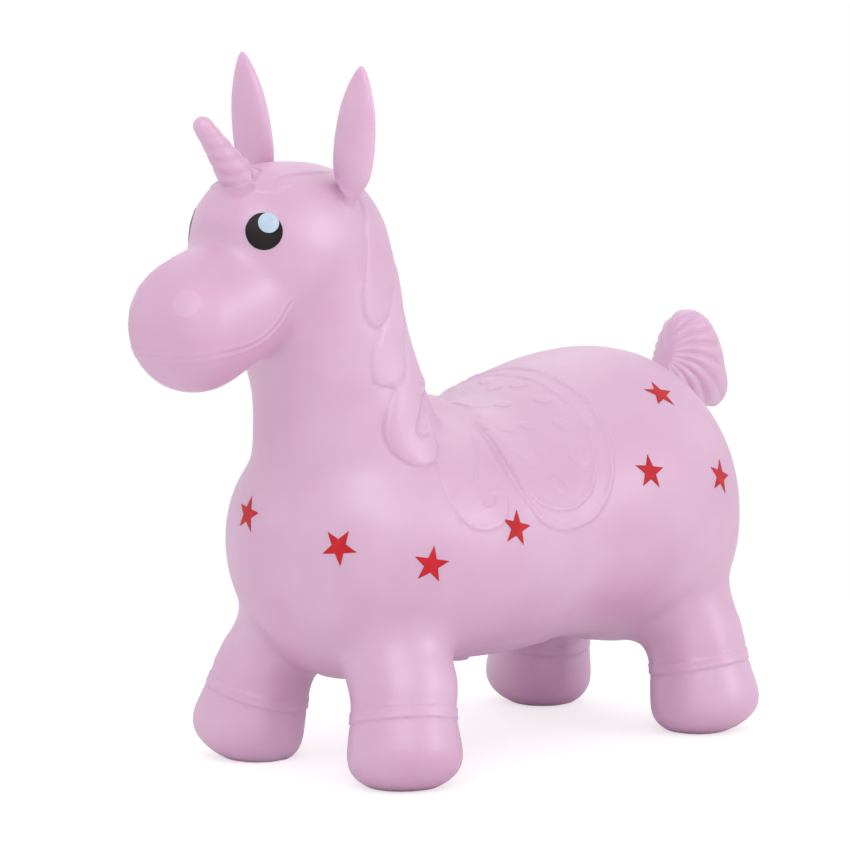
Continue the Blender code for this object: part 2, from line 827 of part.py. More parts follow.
def lathe(name, profile, place, collection):
    """A solid of revolution about a vertical axis, from a profile of (radius, height) that starts and ends on it."""
    bm = bmesh.new()
    verts = [bm.verts.new((radius, 0, height)) for radius, height in profile]
    for a, b in zip(verts, verts[1:]):
        bm.edges.new((a, b))
    mesh = bpy.data.meshes.new(name)
    bm.to_mesh(mesh)
    bm.free()
    obj = bpy.data.objects.new(name, mesh)
    obj.location = place
    collection.objects.link(obj)
    spin = obj.modifiers.new("lathe", "SCREW")
    spin.steps = SEGMENTS
    spin.render_steps = SEGMENTS
    spin.use_merge_vertices = True
    spin.merge_threshold = MEET
    spin.use_normal_flip = True
    return obj


def valve_place(tree):
    """The middle of the valve's outer face, on the underside of the belly."""
    foot = Vector((STANCE_X - VALVE_AHEAD, 0, 0))
    belly = tree.ray_cast(foot, Vector((0, 0, 1)))[0]
    return belly - Vector((0, 0, BOSS_RISE))


def add_valve(skin, form, tree, cutters):
    """The belly pad, then the boss and collar round the valve, then the cavity, and last the bore into it."""
    place = valve_place(tree)
    start = Vector((place.x, place.y, BELLY_HEIGHT / 2))
    corners = [start + Vector((x, y, 0)) for x, y in disc_outline(PAD_DIAMETER, 2 * SEGMENTS)]
    outline = prism("pad_outline", corners, Vector((0, 0, BELLY_HEIGHT)), cutters)
    raised(skin, form, "belly_pad", outline, PAD_RISE, cutters)

    boss = BOSS_DIAMETER / 2
    profile = [(0, 0), (boss - BOSS_RISE / 2, 0), (boss, BOSS_RISE / 2), (boss, BOSS_RISE + WALL / 2)]
    profile.append((0, BOSS_RISE + WALL / 2))
    combine(skin, lathe("valve_boss", profile, place, cutters), "UNION")

    cavity = swollen_form("cavity", form, -WALL, cutters)
    fewer = cavity.modifiers.new("fewer_faces", "DECIMATE")
    fewer.ratio = CAVITY_SHARE
    combine(skin, cavity, "DIFFERENCE")

    collar = COLLAR_DIAMETER / 2
    top = BOSS_RISE + WALL + COLLAR_LENGTH
    profile = [(0, BOSS_RISE / 2), (collar, BOSS_RISE / 2), (collar, top), (0, top)]
    combine(skin, lathe("valve_collar", profile, place, cutters), "UNION")

    bore = BORE_DIAMETER / 2
    recess = RECESS_DIAMETER / 2
    through = top + COLLAR_LENGTH / 4
    profile = [(0, -BOSS_RISE), (recess, -BOSS_RISE), (recess, RECESS_DEPTH), (bore, RECESS_DEPTH)]
    profile += [(bore, through), (0, through)]
    combine(skin, lathe("valve_bore", profile, place, cutters), "DIFFERENCE")


def add_stopper(tree, parts):
    """The push-in stopper: a flat head in the recess and a ribbed hollow stem in the bore, origin on its axis."""
    head = RECESS_DIAMETER / 2 - GAP
    rib = BORE_DIAMETER / 2 - GAP
    neck = rib * STOPPER_NECK_SHARE
    hollow = STOPPER_HOLLOW_DIAMETER / 2
    under = RECESS_DEPTH - GAP
    chamfer = STOPPER_PROUD / 2
    profile = [
        (0, STOPPER_HOLLOW_DEPTH),
        (hollow, STOPPER_HOLLOW_DEPTH),
        (hollow, chamfer - STOPPER_PROUD),
        (hollow + chamfer, -STOPPER_PROUD),
        (head - chamfer, -STOPPER_PROUD),
        (head, chamfer - STOPPER_PROUD),
        (head, under),
        (rib, under),
    ]
    pitch = (STOPPER_LENGTH - under) / (STOPPER_RIBS + 1)
    for k in range(STOPPER_RIBS):
        profile += [(rib if out else neck, under + pitch * (k + way)) for way, out in RIB_SHARES]
    profile += [(rib, STOPPER_LENGTH - pitch / 2), (rib * STOPPER_TIP_SHARE, STOPPER_LENGTH), (0, STOPPER_LENGTH)]
    return lathe("valve_stopper", profile, valve_place(tree), parts)


def printed(name, outline, frame, under, parts, cuts=1):
    """A film of ink lying on what is under it, cut to a flat outline of (x, y) in the given frame."""
    bm = bmesh.new()
    rim = [bm.verts.new((x, y, 0)) for x, y in outline]
    middle = bm.verts.new((0, 0, 0))
    for a, b in zip(rim, rim[1:] + rim[:1]):
        bm.faces.new((middle, a, b))
    bmesh.ops.subdivide_edges(bm, edges=bm.edges[:], cuts=cuts, use_grid_fill=True)
    bmesh.ops.triangulate(bm, faces=bm.faces[:])
    for face in bm.faces:
        if face.normal.z < 0:
            face.normal_flip()
    mesh = bpy.data.meshes.new(name)
    bm.to_mesh(mesh)
    bm.free()
    obj = bpy.data.objects.new(name, mesh)
    obj.matrix_world = frame
    parts.objects.link(obj)
    lay = obj.modifiers.new("lie_on_skin", "SHRINKWRAP")
    lay.target = under
    lay.wrap_method = "NEAREST_SURFACEPOINT"
    lay.wrap_mode = "ABOVE_SURFACE"
    lay.offset = INK_GAP
    thick = obj.modifiers.new("ink", "SOLIDIFY")
    thick.thickness = INK
    thick.offset = 1
    return obj


def disc_outline(diameter, count=SEGMENTS):
    return [
        (diameter / 2 * math.sin(2 * math.pi * k / count), diameter / 2 * math.cos(2 * math.pi * k / count))
        for k in range(count)
    ]


def star_outline():
    points = []
    for k in range(2 * STAR_POINTS):
        reach = STAR_RADIUS * (STAR_WAIST_SHARE if k % 2 else 1)
        angle = math.pi * k / STAR_POINTS
        points.append((reach * math.sin(angle), reach * math.cos(angle)))
    return points


def look_in(tree, x, z, round_deg, side):
    """Where a level look from outside, toward (x, 0, z), meets the form; round_deg turns it from the nose.

    A look that passes over the form gives the form's nearest place instead.
    """
    angle = math.radians(round_deg)
    out = Vector((-math.cos(angle), side * math.sin(angle), 0))
    start = Vector((x, 0, z)) + out * TRUNK_LENGTH
    place, normal, _, _ = tree.ray_cast(start, -out)
    if place is None:
        return on_skin(tree, (x, 0, z))
    return place, normal


def add_prints(skin, tree, inks, parts):
    black, pale, red = inks
    ahead, aside, above = EYE_SHARES
    for side, word in ((-1, "left"), (1, "right")):
        x = head_x(HEAD_LENGTH * ahead)
        z = HEAD_HEIGHT + HEAD_DEPTH * above
        place, normal = on_skin(tree, (x, side * HEAD_WIDTH * aside, z))
        frame = facing(place, normal)
        eye = printed("eye_" + word, disc_outline(EYE_DIAMETER, 20), frame, skin, parts, cuts=2)
        eye.data.materials.append(black)
        shift = (GLINT_SHARES[0] * EYE_DIAMETER, GLINT_SHARES[1] * EYE_DIAMETER, EYE_DIAMETER / 8)
        outline = disc_outline(GLINT_DIAMETER, FINE_SEGMENTS)
        glint = printed("eye_glint_" + word, outline, frame @ Matrix.Translation(shift), eye, parts)
        glint.data.materials.append(pale)
    for name, side, along, up, round_deg, turn in STARS:
        place, normal = look_in(tree, trunk_x(along), trunk_z(up), round_deg, side)
        star = printed(name, star_outline(), facing(place, normal, turn), skin, parts)
        star.data.materials.append(red)


def linear(channel):
    share = channel / 255
    return share / 12.92 if share <= 0.04045 else ((share + 0.055) / 1.055) ** 2.4


def paint(name, red, green, blue, roughness):
    material = bpy.data.materials.new(name)
    material.use_nodes = True
    shader = material.node_tree.nodes["Principled BSDF"]
    shader.inputs["Base Color"].default_value = (linear(red), linear(green), linear(blue), 1)
    shader.inputs["Roughness"].default_value = roughness
    shader.inputs["Metallic"].default_value = 0
    return material


def soften(obj):
    """Smooth shading, with creases where the surface turns sharply."""
    for polygon in obj.data.polygons:
        polygon.use_smooth = True
    obj.data.set_sharp_from_angle(angle=math.radians(SOFT_DEG))


def build():
    clear_scene()
    parts = new_collection("bouncy_ride_on_unicorn")
    cutters = new_collection("cutters")
    form = smooth_form(cutters)
    skin = bpy.data.objects.new("body_skin", form)
    parts.objects.link(skin)
    tree = BVHTree.FromObject(skin, bpy.context.evaluated_depsgraph_get())
    add_saddle(skin, form, cutters)
    add_hair(skin, form, cutters)
    add_bands(skin, cutters)
    add_ears(skin, cutters)
    add_horn(skin, cutters)
    add_tail(skin, cutters)
    add_dimples(skin, tree, cutters)
    add_face(skin, tree, cutters)
    add_valve(skin, form, tree, cutters)
    skin.data.materials.append(paint("pink_pvc", 214, 168, 199, 0.35))
    soften(skin)
    stopper = add_stopper(tree, parts)
    stopper.data.materials.append(paint("white_plastic", 236, 234, 230, 0.45))
    inks = (
        paint("black_ink", 36, 30, 32, 0.25),
        paint("pale_ink", 192, 205, 221, 0.30),
        paint("red_ink", 205, 42, 50, 0.35),
    )
    add_prints(skin, tree, inks, parts)


build()
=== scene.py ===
"""Looks for the inflatable ride-on unicorn: pearl PVC skin, printed eyes and stars, belly stopper, studio floor."""

import math

import bmesh
import bpy
import numpy as np
from mathutils import Matrix, Vector
from mathutils.bvhtree import BVHTree


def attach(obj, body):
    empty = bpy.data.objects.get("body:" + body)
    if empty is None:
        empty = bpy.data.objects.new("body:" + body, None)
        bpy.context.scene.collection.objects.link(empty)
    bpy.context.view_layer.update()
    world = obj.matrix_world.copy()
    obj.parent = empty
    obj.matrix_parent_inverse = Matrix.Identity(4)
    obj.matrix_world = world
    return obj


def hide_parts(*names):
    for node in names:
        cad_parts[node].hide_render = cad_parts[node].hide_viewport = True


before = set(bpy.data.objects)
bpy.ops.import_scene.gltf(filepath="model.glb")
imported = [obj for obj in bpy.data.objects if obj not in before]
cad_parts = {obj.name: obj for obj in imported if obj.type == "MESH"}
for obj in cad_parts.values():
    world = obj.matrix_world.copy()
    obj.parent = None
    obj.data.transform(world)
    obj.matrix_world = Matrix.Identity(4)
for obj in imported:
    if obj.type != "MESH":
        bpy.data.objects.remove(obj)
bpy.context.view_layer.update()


# The skin's main forms: trunk, neck, head, muzzle and four legs of one hollow moulding in soft pearl PVC about 3 mm
# thick. It comes out of one closed mould, so the forms run into each other without a seam, and air at a slight
# pressure keeps them round.

STANCE_X = 0.0243
WHEELBASE = 0.3073
FRONT_TRACK = 0.169
HIND_TRACK = 0.177
TRUNK_LENGTH = 0.406
TRUNK_WIDTH = 0.236
TRUNK_MIDDLE_X = 0.0289
BACK_HEIGHT = 0.276
BELLY_HEIGHT = 0.072
TRUNK_DEPTH = BACK_HEIGHT - BELLY_HEIGHT
HEAD_X = -0.1616
HEAD_HEIGHT = 0.370
LEG_LENGTH = 0.150
LEG_DIAMETER = 0.074
HOOF_DIAMETER = 0.0825
HOOF_HEIGHT = 0.0510
FRONT_LEG_LEAN = (9.0, 13.5)
HIND_LEG_LEAN = (3.0, 11.0)
SOFTNESS = 0.5
SKIN_GRAIN = 0.0042
BLEND_PASSES = 23
CROOK_HEIGHT = 0.084
CROOK_INWARD = 0.012
CROOK_REACH = (0.052, 0.044, 0.034)
CROOK_PASSES = 12

# Trunk sections from the chest to the rump: place along the trunk, top and bottom between belly and back, width.
TRUNK_SECTIONS = (
    (0.000, 0.46, 0.40, 0.06), (0.012, 0.62, 0.24, 0.34), (0.045, 0.75, 0.09, 0.58), (0.110, 0.83, 0.00, 0.80),
    (0.220, 0.865, -0.035, 0.94), (0.350, 0.847, -0.015, 0.97), (0.460, 0.843, -0.02, 0.97),
    (0.560, 0.916, -0.01, 0.99), (0.660, 0.982, -0.01, 1.00), (0.760, 1.010, -0.05, 1.00), (0.850, 0.990, -0.07, 0.95),
    (0.920, 0.910, -0.03, 0.82), (0.965, 0.790, 0.07, 0.63), (0.990, 0.655, 0.20, 0.38), (1.000, 0.500, 0.36, 0.06),
)
# Neck, head and muzzle sections: x, z, depth and width, in millimetres from the head's middle.
NECK_SECTIONS = (
    (77.0, -220.0, 168.0, 182.4), (60.1, -154.0, 131.0, 148.8), (44.7, -94.6, 112.0, 120.0),
    (26.2, -44.0, 116.5, 111.6), (15.4, 0.0, 115.4, 103.2),
)
HEAD_SECTIONS = (
    (68.0, -16.0, 11.4, 11.0), (66.0, -18.2, 38.8, 37.4), (59.8, -16.0, 66.1, 63.8), (46.2, -9.1, 88.9, 84.7),
    (24.5, -1.1, 108.3, 102.3), (0.0, 0.0, 114.0, 110.0), (-24.5, 0.0, 111.7, 105.6), (-46.2, 0.0, 95.8, 90.2),
    (-59.8, -1.1, 68.4, 66.0), (-66.0, -2.3, 38.8, 39.6), (-68.0, -2.3, 11.4, 11.0),
)
MUZZLE_SECTIONS = (
    (-6.3, -14.1, 87.4, 83.6), (-43.8, -32.9, 87.0, 86.2), (-68.8, -41.4, 88.5, 86.2), (-87.5, -48.0, 90.2, 88.0),
    (-102.5, -52.4, 82.4, 83.6), (-115.0, -54.5, 64.4, 66.9), (-122.5, -55.5, 36.8, 38.7), (-125.0, -55.9, 9.2, 8.8),
)
# Leg and hoof sections: way up the leg's axis, over the leg's length or the hoof's height, and diameter.
LEG_SECTIONS = ((1.00, 0.64), (0.84, 0.69), (0.68, 0.79), (0.54, 0.92), (0.44, 0.995))
HOOF_SECTIONS = (
    (1.00, 0.86), (0.90, 0.90), (0.62, 0.95), (0.42, 1.00), (0.26, 0.96), (0.13, 0.83), (0.04, 0.63), (-0.03, 0.42),
    (-0.06, 0.10),
)
# Last dressings of the form: place, shift and reach in millimetres, the same on both sides. In turn: chin, jaw, bridge
# of the nose, nape, front of the shoulder's foot, belly between the front legs, dip between neck and seat (two),
# thigh, and both sides of each front leg's top.
DRESSINGS = (
    ((-240, 0, 284), (0, 0, -3.0), 26), ((-222, -20, 290), (0, 0, -1.5), 20), ((-243, 0, 370), (-2.0, 0, 2.0), 16),
    ((-98, -36, 350), (3.0, -2.0, 0), 28), ((-140, -93, 100), (2.0, 2.0, 0), 22), ((-118, 0, 72), (0, 0, -4.5), 40),
    ((-26, 0, 254), (1.0, 0, 14.0), 24), ((-45, 0, 268), (3.0, 0, 1.0), 20), ((222, -80, 108), (4.0, -2.0, 0), 36),
    ((-140, -43, 72), (-1.5, 1.5, -2.5), 11), ((-93, -91, 77), (3.0, -3.0, -1.0), 22),
)


def smooth_run(stations, steps, closed=False):
    """More stations between the given ones, on a smooth curve through them."""
    count = len(stations)
    run = []
    for i in range(count if closed else count - 1):
        near = [k % count if closed else min(max(k, 0), count - 1) for k in (i - 1, i, i + 1, i + 2)]
        before, here, there, after = (stations[k] for k in near)
        for k in range(steps):
            t = k / steps
            run.append(tuple(
                0.5 * (2 * b + (c - a) * t + (2 * a - 5 * b + 4 * c - d) * t**2 + (3 * b - a - 3 * c + d) * t**3)
                for a, b, c, d in zip(before, here, there, after)
            ))
    return run if closed else run + [tuple(stations[-1])]


def lofted(bm, rings, segments, swell=None):
    """A closed tube through rings of (centre, across, up); swell(angle, way) scales a ring round itself."""
    loops = []
    for index, (centre, across, up) in enumerate(rings):
        way = index / (len(rings) - 1)
        place = Matrix((
            (across.x, up.x, 0, centre.x), (across.y, up.y, 0, centre.y), (across.z, up.z, 0, centre.z), (0, 0, 0, 1),
        ))
        verts = bmesh.ops.create_circle(bm, radius=1, segments=segments)["verts"]
        for vert in verts:
            size = swell(math.atan2(vert.co.y, vert.co.x), way) if swell else 1
            vert.co = place @ (vert.co * size)
        loops.append((verts, {e for v in verts for e in v.link_edges}))
    for (_, edges_a), (_, edges_b) in zip(loops, loops[1:]):
        bmesh.ops.bridge_loops(bm, edges=list(edges_a | edges_b))
    for verts, _ in (loops[0], loops[-1]):
        bm.faces.new(verts)


def tube(bm, stations, steps, segments, swell=None):
    """A tube along a path of (x, y, z, depth, width), each ring square to the path."""
    run = smooth_run(stations, steps)
    points = [Vector(s[:3]) for s in run]
    rings = []
    for i, (point, station) in enumerate(zip(points, run)):
        along = (points[min(i + 1, len(points) - 1)] - points[max(i - 1, 0)]).normalized()
        side = Vector((0, 1, 0))
        side = (side - along * side.dot(along)).normalized()
        up = along.cross(side)
        rings.append((point, side * station[4] / 2, up * station[3] / 2))
    lofted(bm, rings, segments, swell)


def leg_lean(fore, side):
    """A leg's sideways run for each metre up, from rake and splay; fore is -1 in front, side is -1 on the left."""
    rake, splay = FRONT_LEG_LEAN if fore < 0 else HIND_LEG_LEAN
    return Vector((-fore * math.tan(math.radians(rake)), -side * math.tan(math.radians(splay)), 1))


def leg_foot(fore, side):
    return Vector((STANCE_X + fore * WHEELBASE / 2, side * (FRONT_TRACK if fore < 0 else HIND_TRACK) / 2, 0))


def mesh_object(name, bm):
    bmesh.ops.recalc_face_normals(bm, faces=bm.faces)
    mesh = bpy.data.meshes.new(name)
    bm.to_mesh(mesh)
    bm.free()
    obj = bpy.data.objects.new(name, mesh)
    bpy.context.scene.collection.objects.link(obj)
    return obj


def applied(obj):
    """The object's mesh with its modifiers applied; the object itself goes."""
    mesh = bpy.data.meshes.new_from_object(obj.evaluated_get(bpy.context.evaluated_depsgraph_get()))
    bpy.data.objects.remove(obj)
    return mesh


def melted(obj, grain, passes):
    """The object's mesh as one closed skin, smoothed so that its forms run into each other; the object itself goes."""
    melt = obj.modifiers.new("one_skin", "REMESH")
    melt.mode = "VOXEL"
    melt.voxel_size = grain
    relax = obj.modifiers.new("blend", "SMOOTH")
    relax.factor = SOFTNESS
    relax.iterations = passes
    return applied(obj)


def relaxed(bm, verts):
    bmesh.ops.smooth_vert(bm, verts=verts, factor=SOFTNESS, use_axis_x=True, use_axis_y=True, use_axis_z=True)


bm = bmesh.new()
rings = []
for along, top, bottom, width in smooth_run(TRUNK_SECTIONS, 4):
    centre = Vector((
        TRUNK_MIDDLE_X + (along - 0.5) * TRUNK_LENGTH, 0, BELLY_HEIGHT + TRUNK_DEPTH * (top + bottom) / 2,
    ))
    rings.append((centre, Vector((0, TRUNK_WIDTH * width / 2, 0)), Vector((0, 0, TRUNK_DEPTH * (top - bottom) / 2))))
lofted(bm, rings, 96)
for sections in (NECK_SECTIONS, HEAD_SECTIONS, MUZZLE_SECTIONS):
    tube(bm, [
        (HEAD_X + x / 1000, 0, HEAD_HEIGHT + z / 1000, depth / 1000, width / 1000) for x, z, depth, width in sections
    ], 4, 72)
for fore in (-1, 1):
    for side in (-1, 1):
        lean, foot = leg_lean(fore, side), leg_foot(fore, side)
        legs = [(LEG_LENGTH * up, LEG_DIAMETER * wide) for up, wide in LEG_SECTIONS]
        legs += [(HOOF_HEIGHT * up, HOOF_DIAMETER * wide) for up, wide in HOOF_SECTIONS]
        tube(bm, [tuple(foot + lean * height) + (wide, wide) for height, wide in legs], 4, 64)
skin_mesh = melted(mesh_object("form", bm), SKIN_GRAIN, BLEND_PASSES)

# The crook of each leg is melted further into the belly, and then the dressings follow. The soles stay flat.
bm = bmesh.new()
bm.from_mesh(skin_mesh)
for fore in (-1, 1):
    for side in (-1, 1):
        crook = leg_foot(fore, side) + leg_lean(fore, side) * CROOK_HEIGHT - Vector((0, side * CROOK_INWARD, 0))
        for reach in CROOK_REACH:
            near = [v for v in bm.verts if (v.co - crook).length < reach]
            for _ in range(CROOK_PASSES):
                relaxed(bm, near)
for (x, y, z), shift, reach in DRESSINGS:
    for side in (1, -1) if y else (1,):
        place, move = Vector((x, side * y, z)) / 1000, Vector((shift[0], side * shift[1], shift[2])) / 1000
        for vert in bm.verts:
            vert.co += move * math.exp(-((vert.co - place).length / (reach / 1000)) ** 2)
for vert in bm.verts:
    vert.co.z = max(vert.co.z, 0)
bm.to_mesh(skin_mesh)
bm.free()


# Ears, horn and tail: hollow outgrowths of the same skin, drawn out of the same mould. The ears are dished in front,
# the horn carries a round thread, and the tail is a ribbed fan that curls down. A small fillet runs round each root.

EAR_ROOT = (-0.1436, 0.0445, 0.4019)
EAR_LENGTH = {-1: 0.0908, 1: 0.0972}
EAR_WIDTH = 0.0366
EAR_THICKNESS = 0.017
EAR_DISH = 0.45
EAR_SPLAY = math.tan(math.radians(9))
EAR_RAKE = math.tan(math.radians(-1.5))
# Ear sections: way up the ear, width and thickness. Horn sections: way up the horn and diameter.
EAR_SECTIONS = (
    (-0.08, 0.10, 0.40), (0.00, 0.26, 0.68), (0.09, 0.58, 0.88), (0.19, 0.88, 0.98), (0.32, 0.99, 1.00),
    (0.48, 1.00, 0.92), (0.68, 0.86, 0.78), (0.85, 0.56, 0.56), (0.96, 0.25, 0.32), (1.00, 0.07, 0.12),
)
HORN_ROOT = Vector((-0.1996, 0, 0.4110))
HORN_LENGTH = 0.063
HORN_DIAMETER = 0.029
HORN_LEAN = math.radians(41)
HORN_TURNS = 9
HORN_STARTS = 3
HORN_THREAD = 0.040
HORN_THREAD_END = 0.80
HORN_THREAD_FADE = 0.35
HORN_SECTIONS = (
    (-0.12, 1.26), (0.08, 1.04), (0.28, 0.80), (0.48, 0.66), (0.67, 0.55), (0.85, 0.48), (0.94, 0.42), (0.985, 0.28),
    (1.00, 0.08),
)
TAIL_GRAIN = 0.0012
TAIL_PASSES = 10
TAIL_RIB_ROOT = (0.2085, 0.0120, 0.2630)
TAIL_RIBS = 21
TAIL_RIB_RISE = 0.0012
TAIL_RIB_REACH = 0.040
TAIL_RIM_FADE = 1.8
TAIL_RIB_START = -0.10
TAIL_SWEEP = 15.0
# Tail sections from its root to its rear: x, top and bottom z and width, in millimetres.
TAIL_SECTIONS = (
    (194.0, 240.0, 218.0, 22.0), (206.2, 243.4, 220.5, 23.0), (214.1, 250.2, 222.5, 23.0), (220.3, 262.6, 223.0, 26.5),
    (229.0, 281.0, 223.0, 35.0), (238.5, 293.2, 222.7, 44.0), (248.7, 297.4, 222.4, 47.6), (259.3, 294.6, 222.3, 45.4),
    (268.5, 285.0, 223.0, 38.0), (275.5, 272.0, 222.4, 29.5), (282.0, 258.5, 223.6, 22.0), (287.6, 246.2, 230.0, 12.0),
)
ROOT_FILLET = 0.0060
FILLET_PASSES = (1.0, 1.0, 0.8, 0.8, 0.6, 0.6, 0.4, 0.4)
WELD_GAP = 0.00002


def ear_dish(angle, way):
    """Hollows the front of the ear, which is the lower half of each ring."""
    return 1 - EAR_DISH * max(0, -math.sin(angle)) ** 2


def horn_thread(angle, way):
    """Round bands that wind up the horn, with narrow furrows between them; they fade out below its tip."""
    fade = min(1, max(0, (HORN_THREAD_END - way) / HORN_THREAD_FADE))
    turn = HORN_STARTS * angle + 2 * math.pi * HORN_TURNS * way
    return 1 + HORN_THREAD * fade * (2 * abs(math.cos(turn / 2)) - 1)


outgrowths = []
for side in (-1, 1):
    root = Vector((EAR_ROOT[0], side * EAR_ROOT[1], EAR_ROOT[2]))
    bm = bmesh.new()
    tube(bm, [
        tuple(root + Vector((EAR_RAKE, side * EAR_SPLAY, 1)) * EAR_LENGTH[side] * up)
        + (EAR_THICKNESS * thick, EAR_WIDTH * wide)
        for up, wide, thick in EAR_SECTIONS
    ], 8, 40, ear_dish)
    outgrowths.append(mesh_object("ear", bm))
up_horn = Vector((-math.sin(HORN_LEAN), 0, math.cos(HORN_LEAN)))
bm = bmesh.new()
tube(bm, [
    tuple(HORN_ROOT + up_horn * HORN_LENGTH * up) + (HORN_DIAMETER * wide,) * 2 for up, wide in HORN_SECTIONS
], 12, 48, horn_thread)
outgrowths.append(mesh_object("horn", bm))

# The tail is smoothed into one lump first. Its ribs fan out of the root over both sides and fade towards the rim.
bm = bmesh.new()
lofted(bm, [
    (Vector((x, 0, (top + bottom) / 2)) / 1000, Vector((0, width / 2000, 0)), Vector((0, 0, (top - bottom) / 2000)))
    for x, top, bottom, width in smooth_run(TAIL_SECTIONS, 4)
], 64)
tail_mesh = melted(mesh_object("tail", bm), TAIL_GRAIN, TAIL_PASSES)
bm = bmesh.new()
bm.from_mesh(tail_mesh)
bm.normal_update()
for vert, normal in [(v, v.normal.copy()) for v in bm.verts]:
    back = (vert.co.x - TAIL_RIB_ROOT[0] + abs(vert.co.y) - TAIL_RIB_ROOT[1]) * math.sqrt(0.5)
    up = vert.co.z - TAIL_RIB_ROOT[2]
    reach = math.hypot(back, up)
    turn = (math.atan2(up, back) + TAIL_SWEEP * reach + TAIL_RIB_START) * TAIL_RIBS
    off_rim = min(1, abs((normal.x - abs(normal.y)) * math.sqrt(0.5)) * TAIL_RIM_FADE)
    vert.co += normal * TAIL_RIB_RISE * (2 * abs(math.cos(turn / 2)) - 1) * min(1, reach / TAIL_RIB_REACH) * off_rim
outgrowths.append(mesh_object("tail_lump", bm))

skin = bpy.data.objects.new("skin", skin_mesh)
bpy.context.scene.collection.objects.link(skin)
skin_mesh.materials.clear()
skin_mesh.materials.append(bpy.data.materials.new("skin_side"))
for outgrowth in outgrowths:
    outgrowth.data.materials.append(bpy.data.materials.new("outgrowth_side"))
    weld = skin.modifiers.new(outgrowth.name, "BOOLEAN")
    weld.operation = "UNION"
    weld.solver = "EXACT"
    weld.object = outgrowth
    weld.material_mode = "TRANSFER"
skin_mesh = applied(skin)
for outgrowth in outgrowths:
    bpy.data.objects.remove(outgrowth)

# The fillet: every corner within its reach of a seam is smoothed, those nearest the seam most often.
bm = bmesh.new()
bm.from_mesh(skin_mesh)
bmesh.ops.remove_doubles(bm, verts=bm.verts, dist=WELD_GAP)
seam = [v for v in bm.verts if len({f.material_index > 0 for f in v.link_faces}) > 1]
near_seam = {v: 0 for v in seam}
edge_of_fillet = list(seam)
while edge_of_fillet:
    onward = []
    for vert in edge_of_fillet:
        for edge in vert.link_edges:
            other = edge.other_vert(vert)
            way = near_seam[vert] + edge.calc_length()
            if way < ROOT_FILLET and way < near_seam.get(other, ROOT_FILLET):
                near_seam[other] = way
                onward.append(other)
    edge_of_fillet = onward
for reach in FILLET_PASSES:
    relaxed(bm, [v for v, way in near_seam.items() if way < ROOT_FILLET * reach])
on_outgrowth = bm.verts.layers.float.new("on_outgrowth")
for vert in bm.verts:
    vert[on_outgrowth] = min(face.material_index for face in vert.link_faces)
for face in bm.faces:
    face.material_index = 0


# The moulded relief: mane, forelock, flap, saddle and seat stand out of the skin, the hoof bands are round ribs, and
# the mouth is a groove between raised lips. It is the mould's own engraving, so it has no edge that could lift.

# Pairs of two heights or widths are for the mane's upper and its lowest locks, and for front and hind bands. A line is
# its height or depth and its half-width; with three values, the first is how far from the edge it runs.
MANE_RISE = (0.0014, 0.0034)
MANE_EDGE = (0.0032, 0.0085)
MANE_SWELL_HEIGHT = 0.268
MANE_SWELL_RUN = 0.030
MANE_FRONT_X = -0.1500
MANE_TOP = 0.40
MANE_GROOVE = (-0.0012, 0.0005, 0.0012)
FURROW_DEPTHS = (0.0010, 0.0012, 0.0006)
FURROW_WIDTH = 0.0020
HOLLOW_EDGE = (0.0006, 0.0022, 0.0030)
CURL_LINE = (0.0010, 0.0038)
FORELOCK_RISE = 0.0006
FORELOCK_EDGE = (0.0010, 0.0026)
FORELOCK_RIDGE = (0.0014, 0.0003, 0.0010)
FORELOCK_FOOT = 0.022
BODY_TOP = 0.30
FLAP_RISE = 0.0006
FLAP_TOP = 0.236
FLAP_FADE = 0.020
SADDLE_RISE = 0.0009
SEAT_RISE = 0.0017
RIM_RISE = 0.0009
RIM_SHARES = {"saddle": 1.0, "seat": 0.8, "flap": 0.5}
RIM_RIDGE = (0.0012, 0.0011)
RIM_FURROW = (0.0042, 0.0012)
RIM_FURROW_SHARE = 0.5
CLEAR_OF_SADDLE = (0.002, 0.004)
STEP_WIDTH = 0.0026
BAND_HEIGHT = (0.0480, 0.0505)
BAND_RISE = 0.0007
BAND_HALF = 0.0035
BAND_STEP = 0.0014
BAND_RIDGE = (0.0004, 0.0003, 0.0008)
BAND_GROOVE = (0.0014, 0.0006, 0.0010)
BUMP_RISE = 0.0005
BUMP_RING = 0.0003
BUMP_LENGTH = 0.0150
BUMP_WIDTH = 0.0090
BUMP_RUN = Vector((0.55, -0.35, -0.75))
BUMP_RING_PLACE = 0.82
BUMP_RING_WIDTH = 0.0009
LIP_HALF = 0.0042
LIP_RISE = 0.0004
LIP_STEP = 0.0018
MOUTH_CUT = (0.0010, 0.0010)
CHEEK_LINE = (0.0006, 0.0030)
EAR_LINE = (0.0011, 0.0015)
HORN_LINE = (0.0004, 0.0034)
BOSS_RADIUS = 0.015
BOSS_RISE = 0.0030
BOSS_STEP = 0.0022
RELIEF_GRAINS = (0.0032, 0.0017)
RELIEF_REACH = 1.3
SHORTEST_EDGE = 0.55

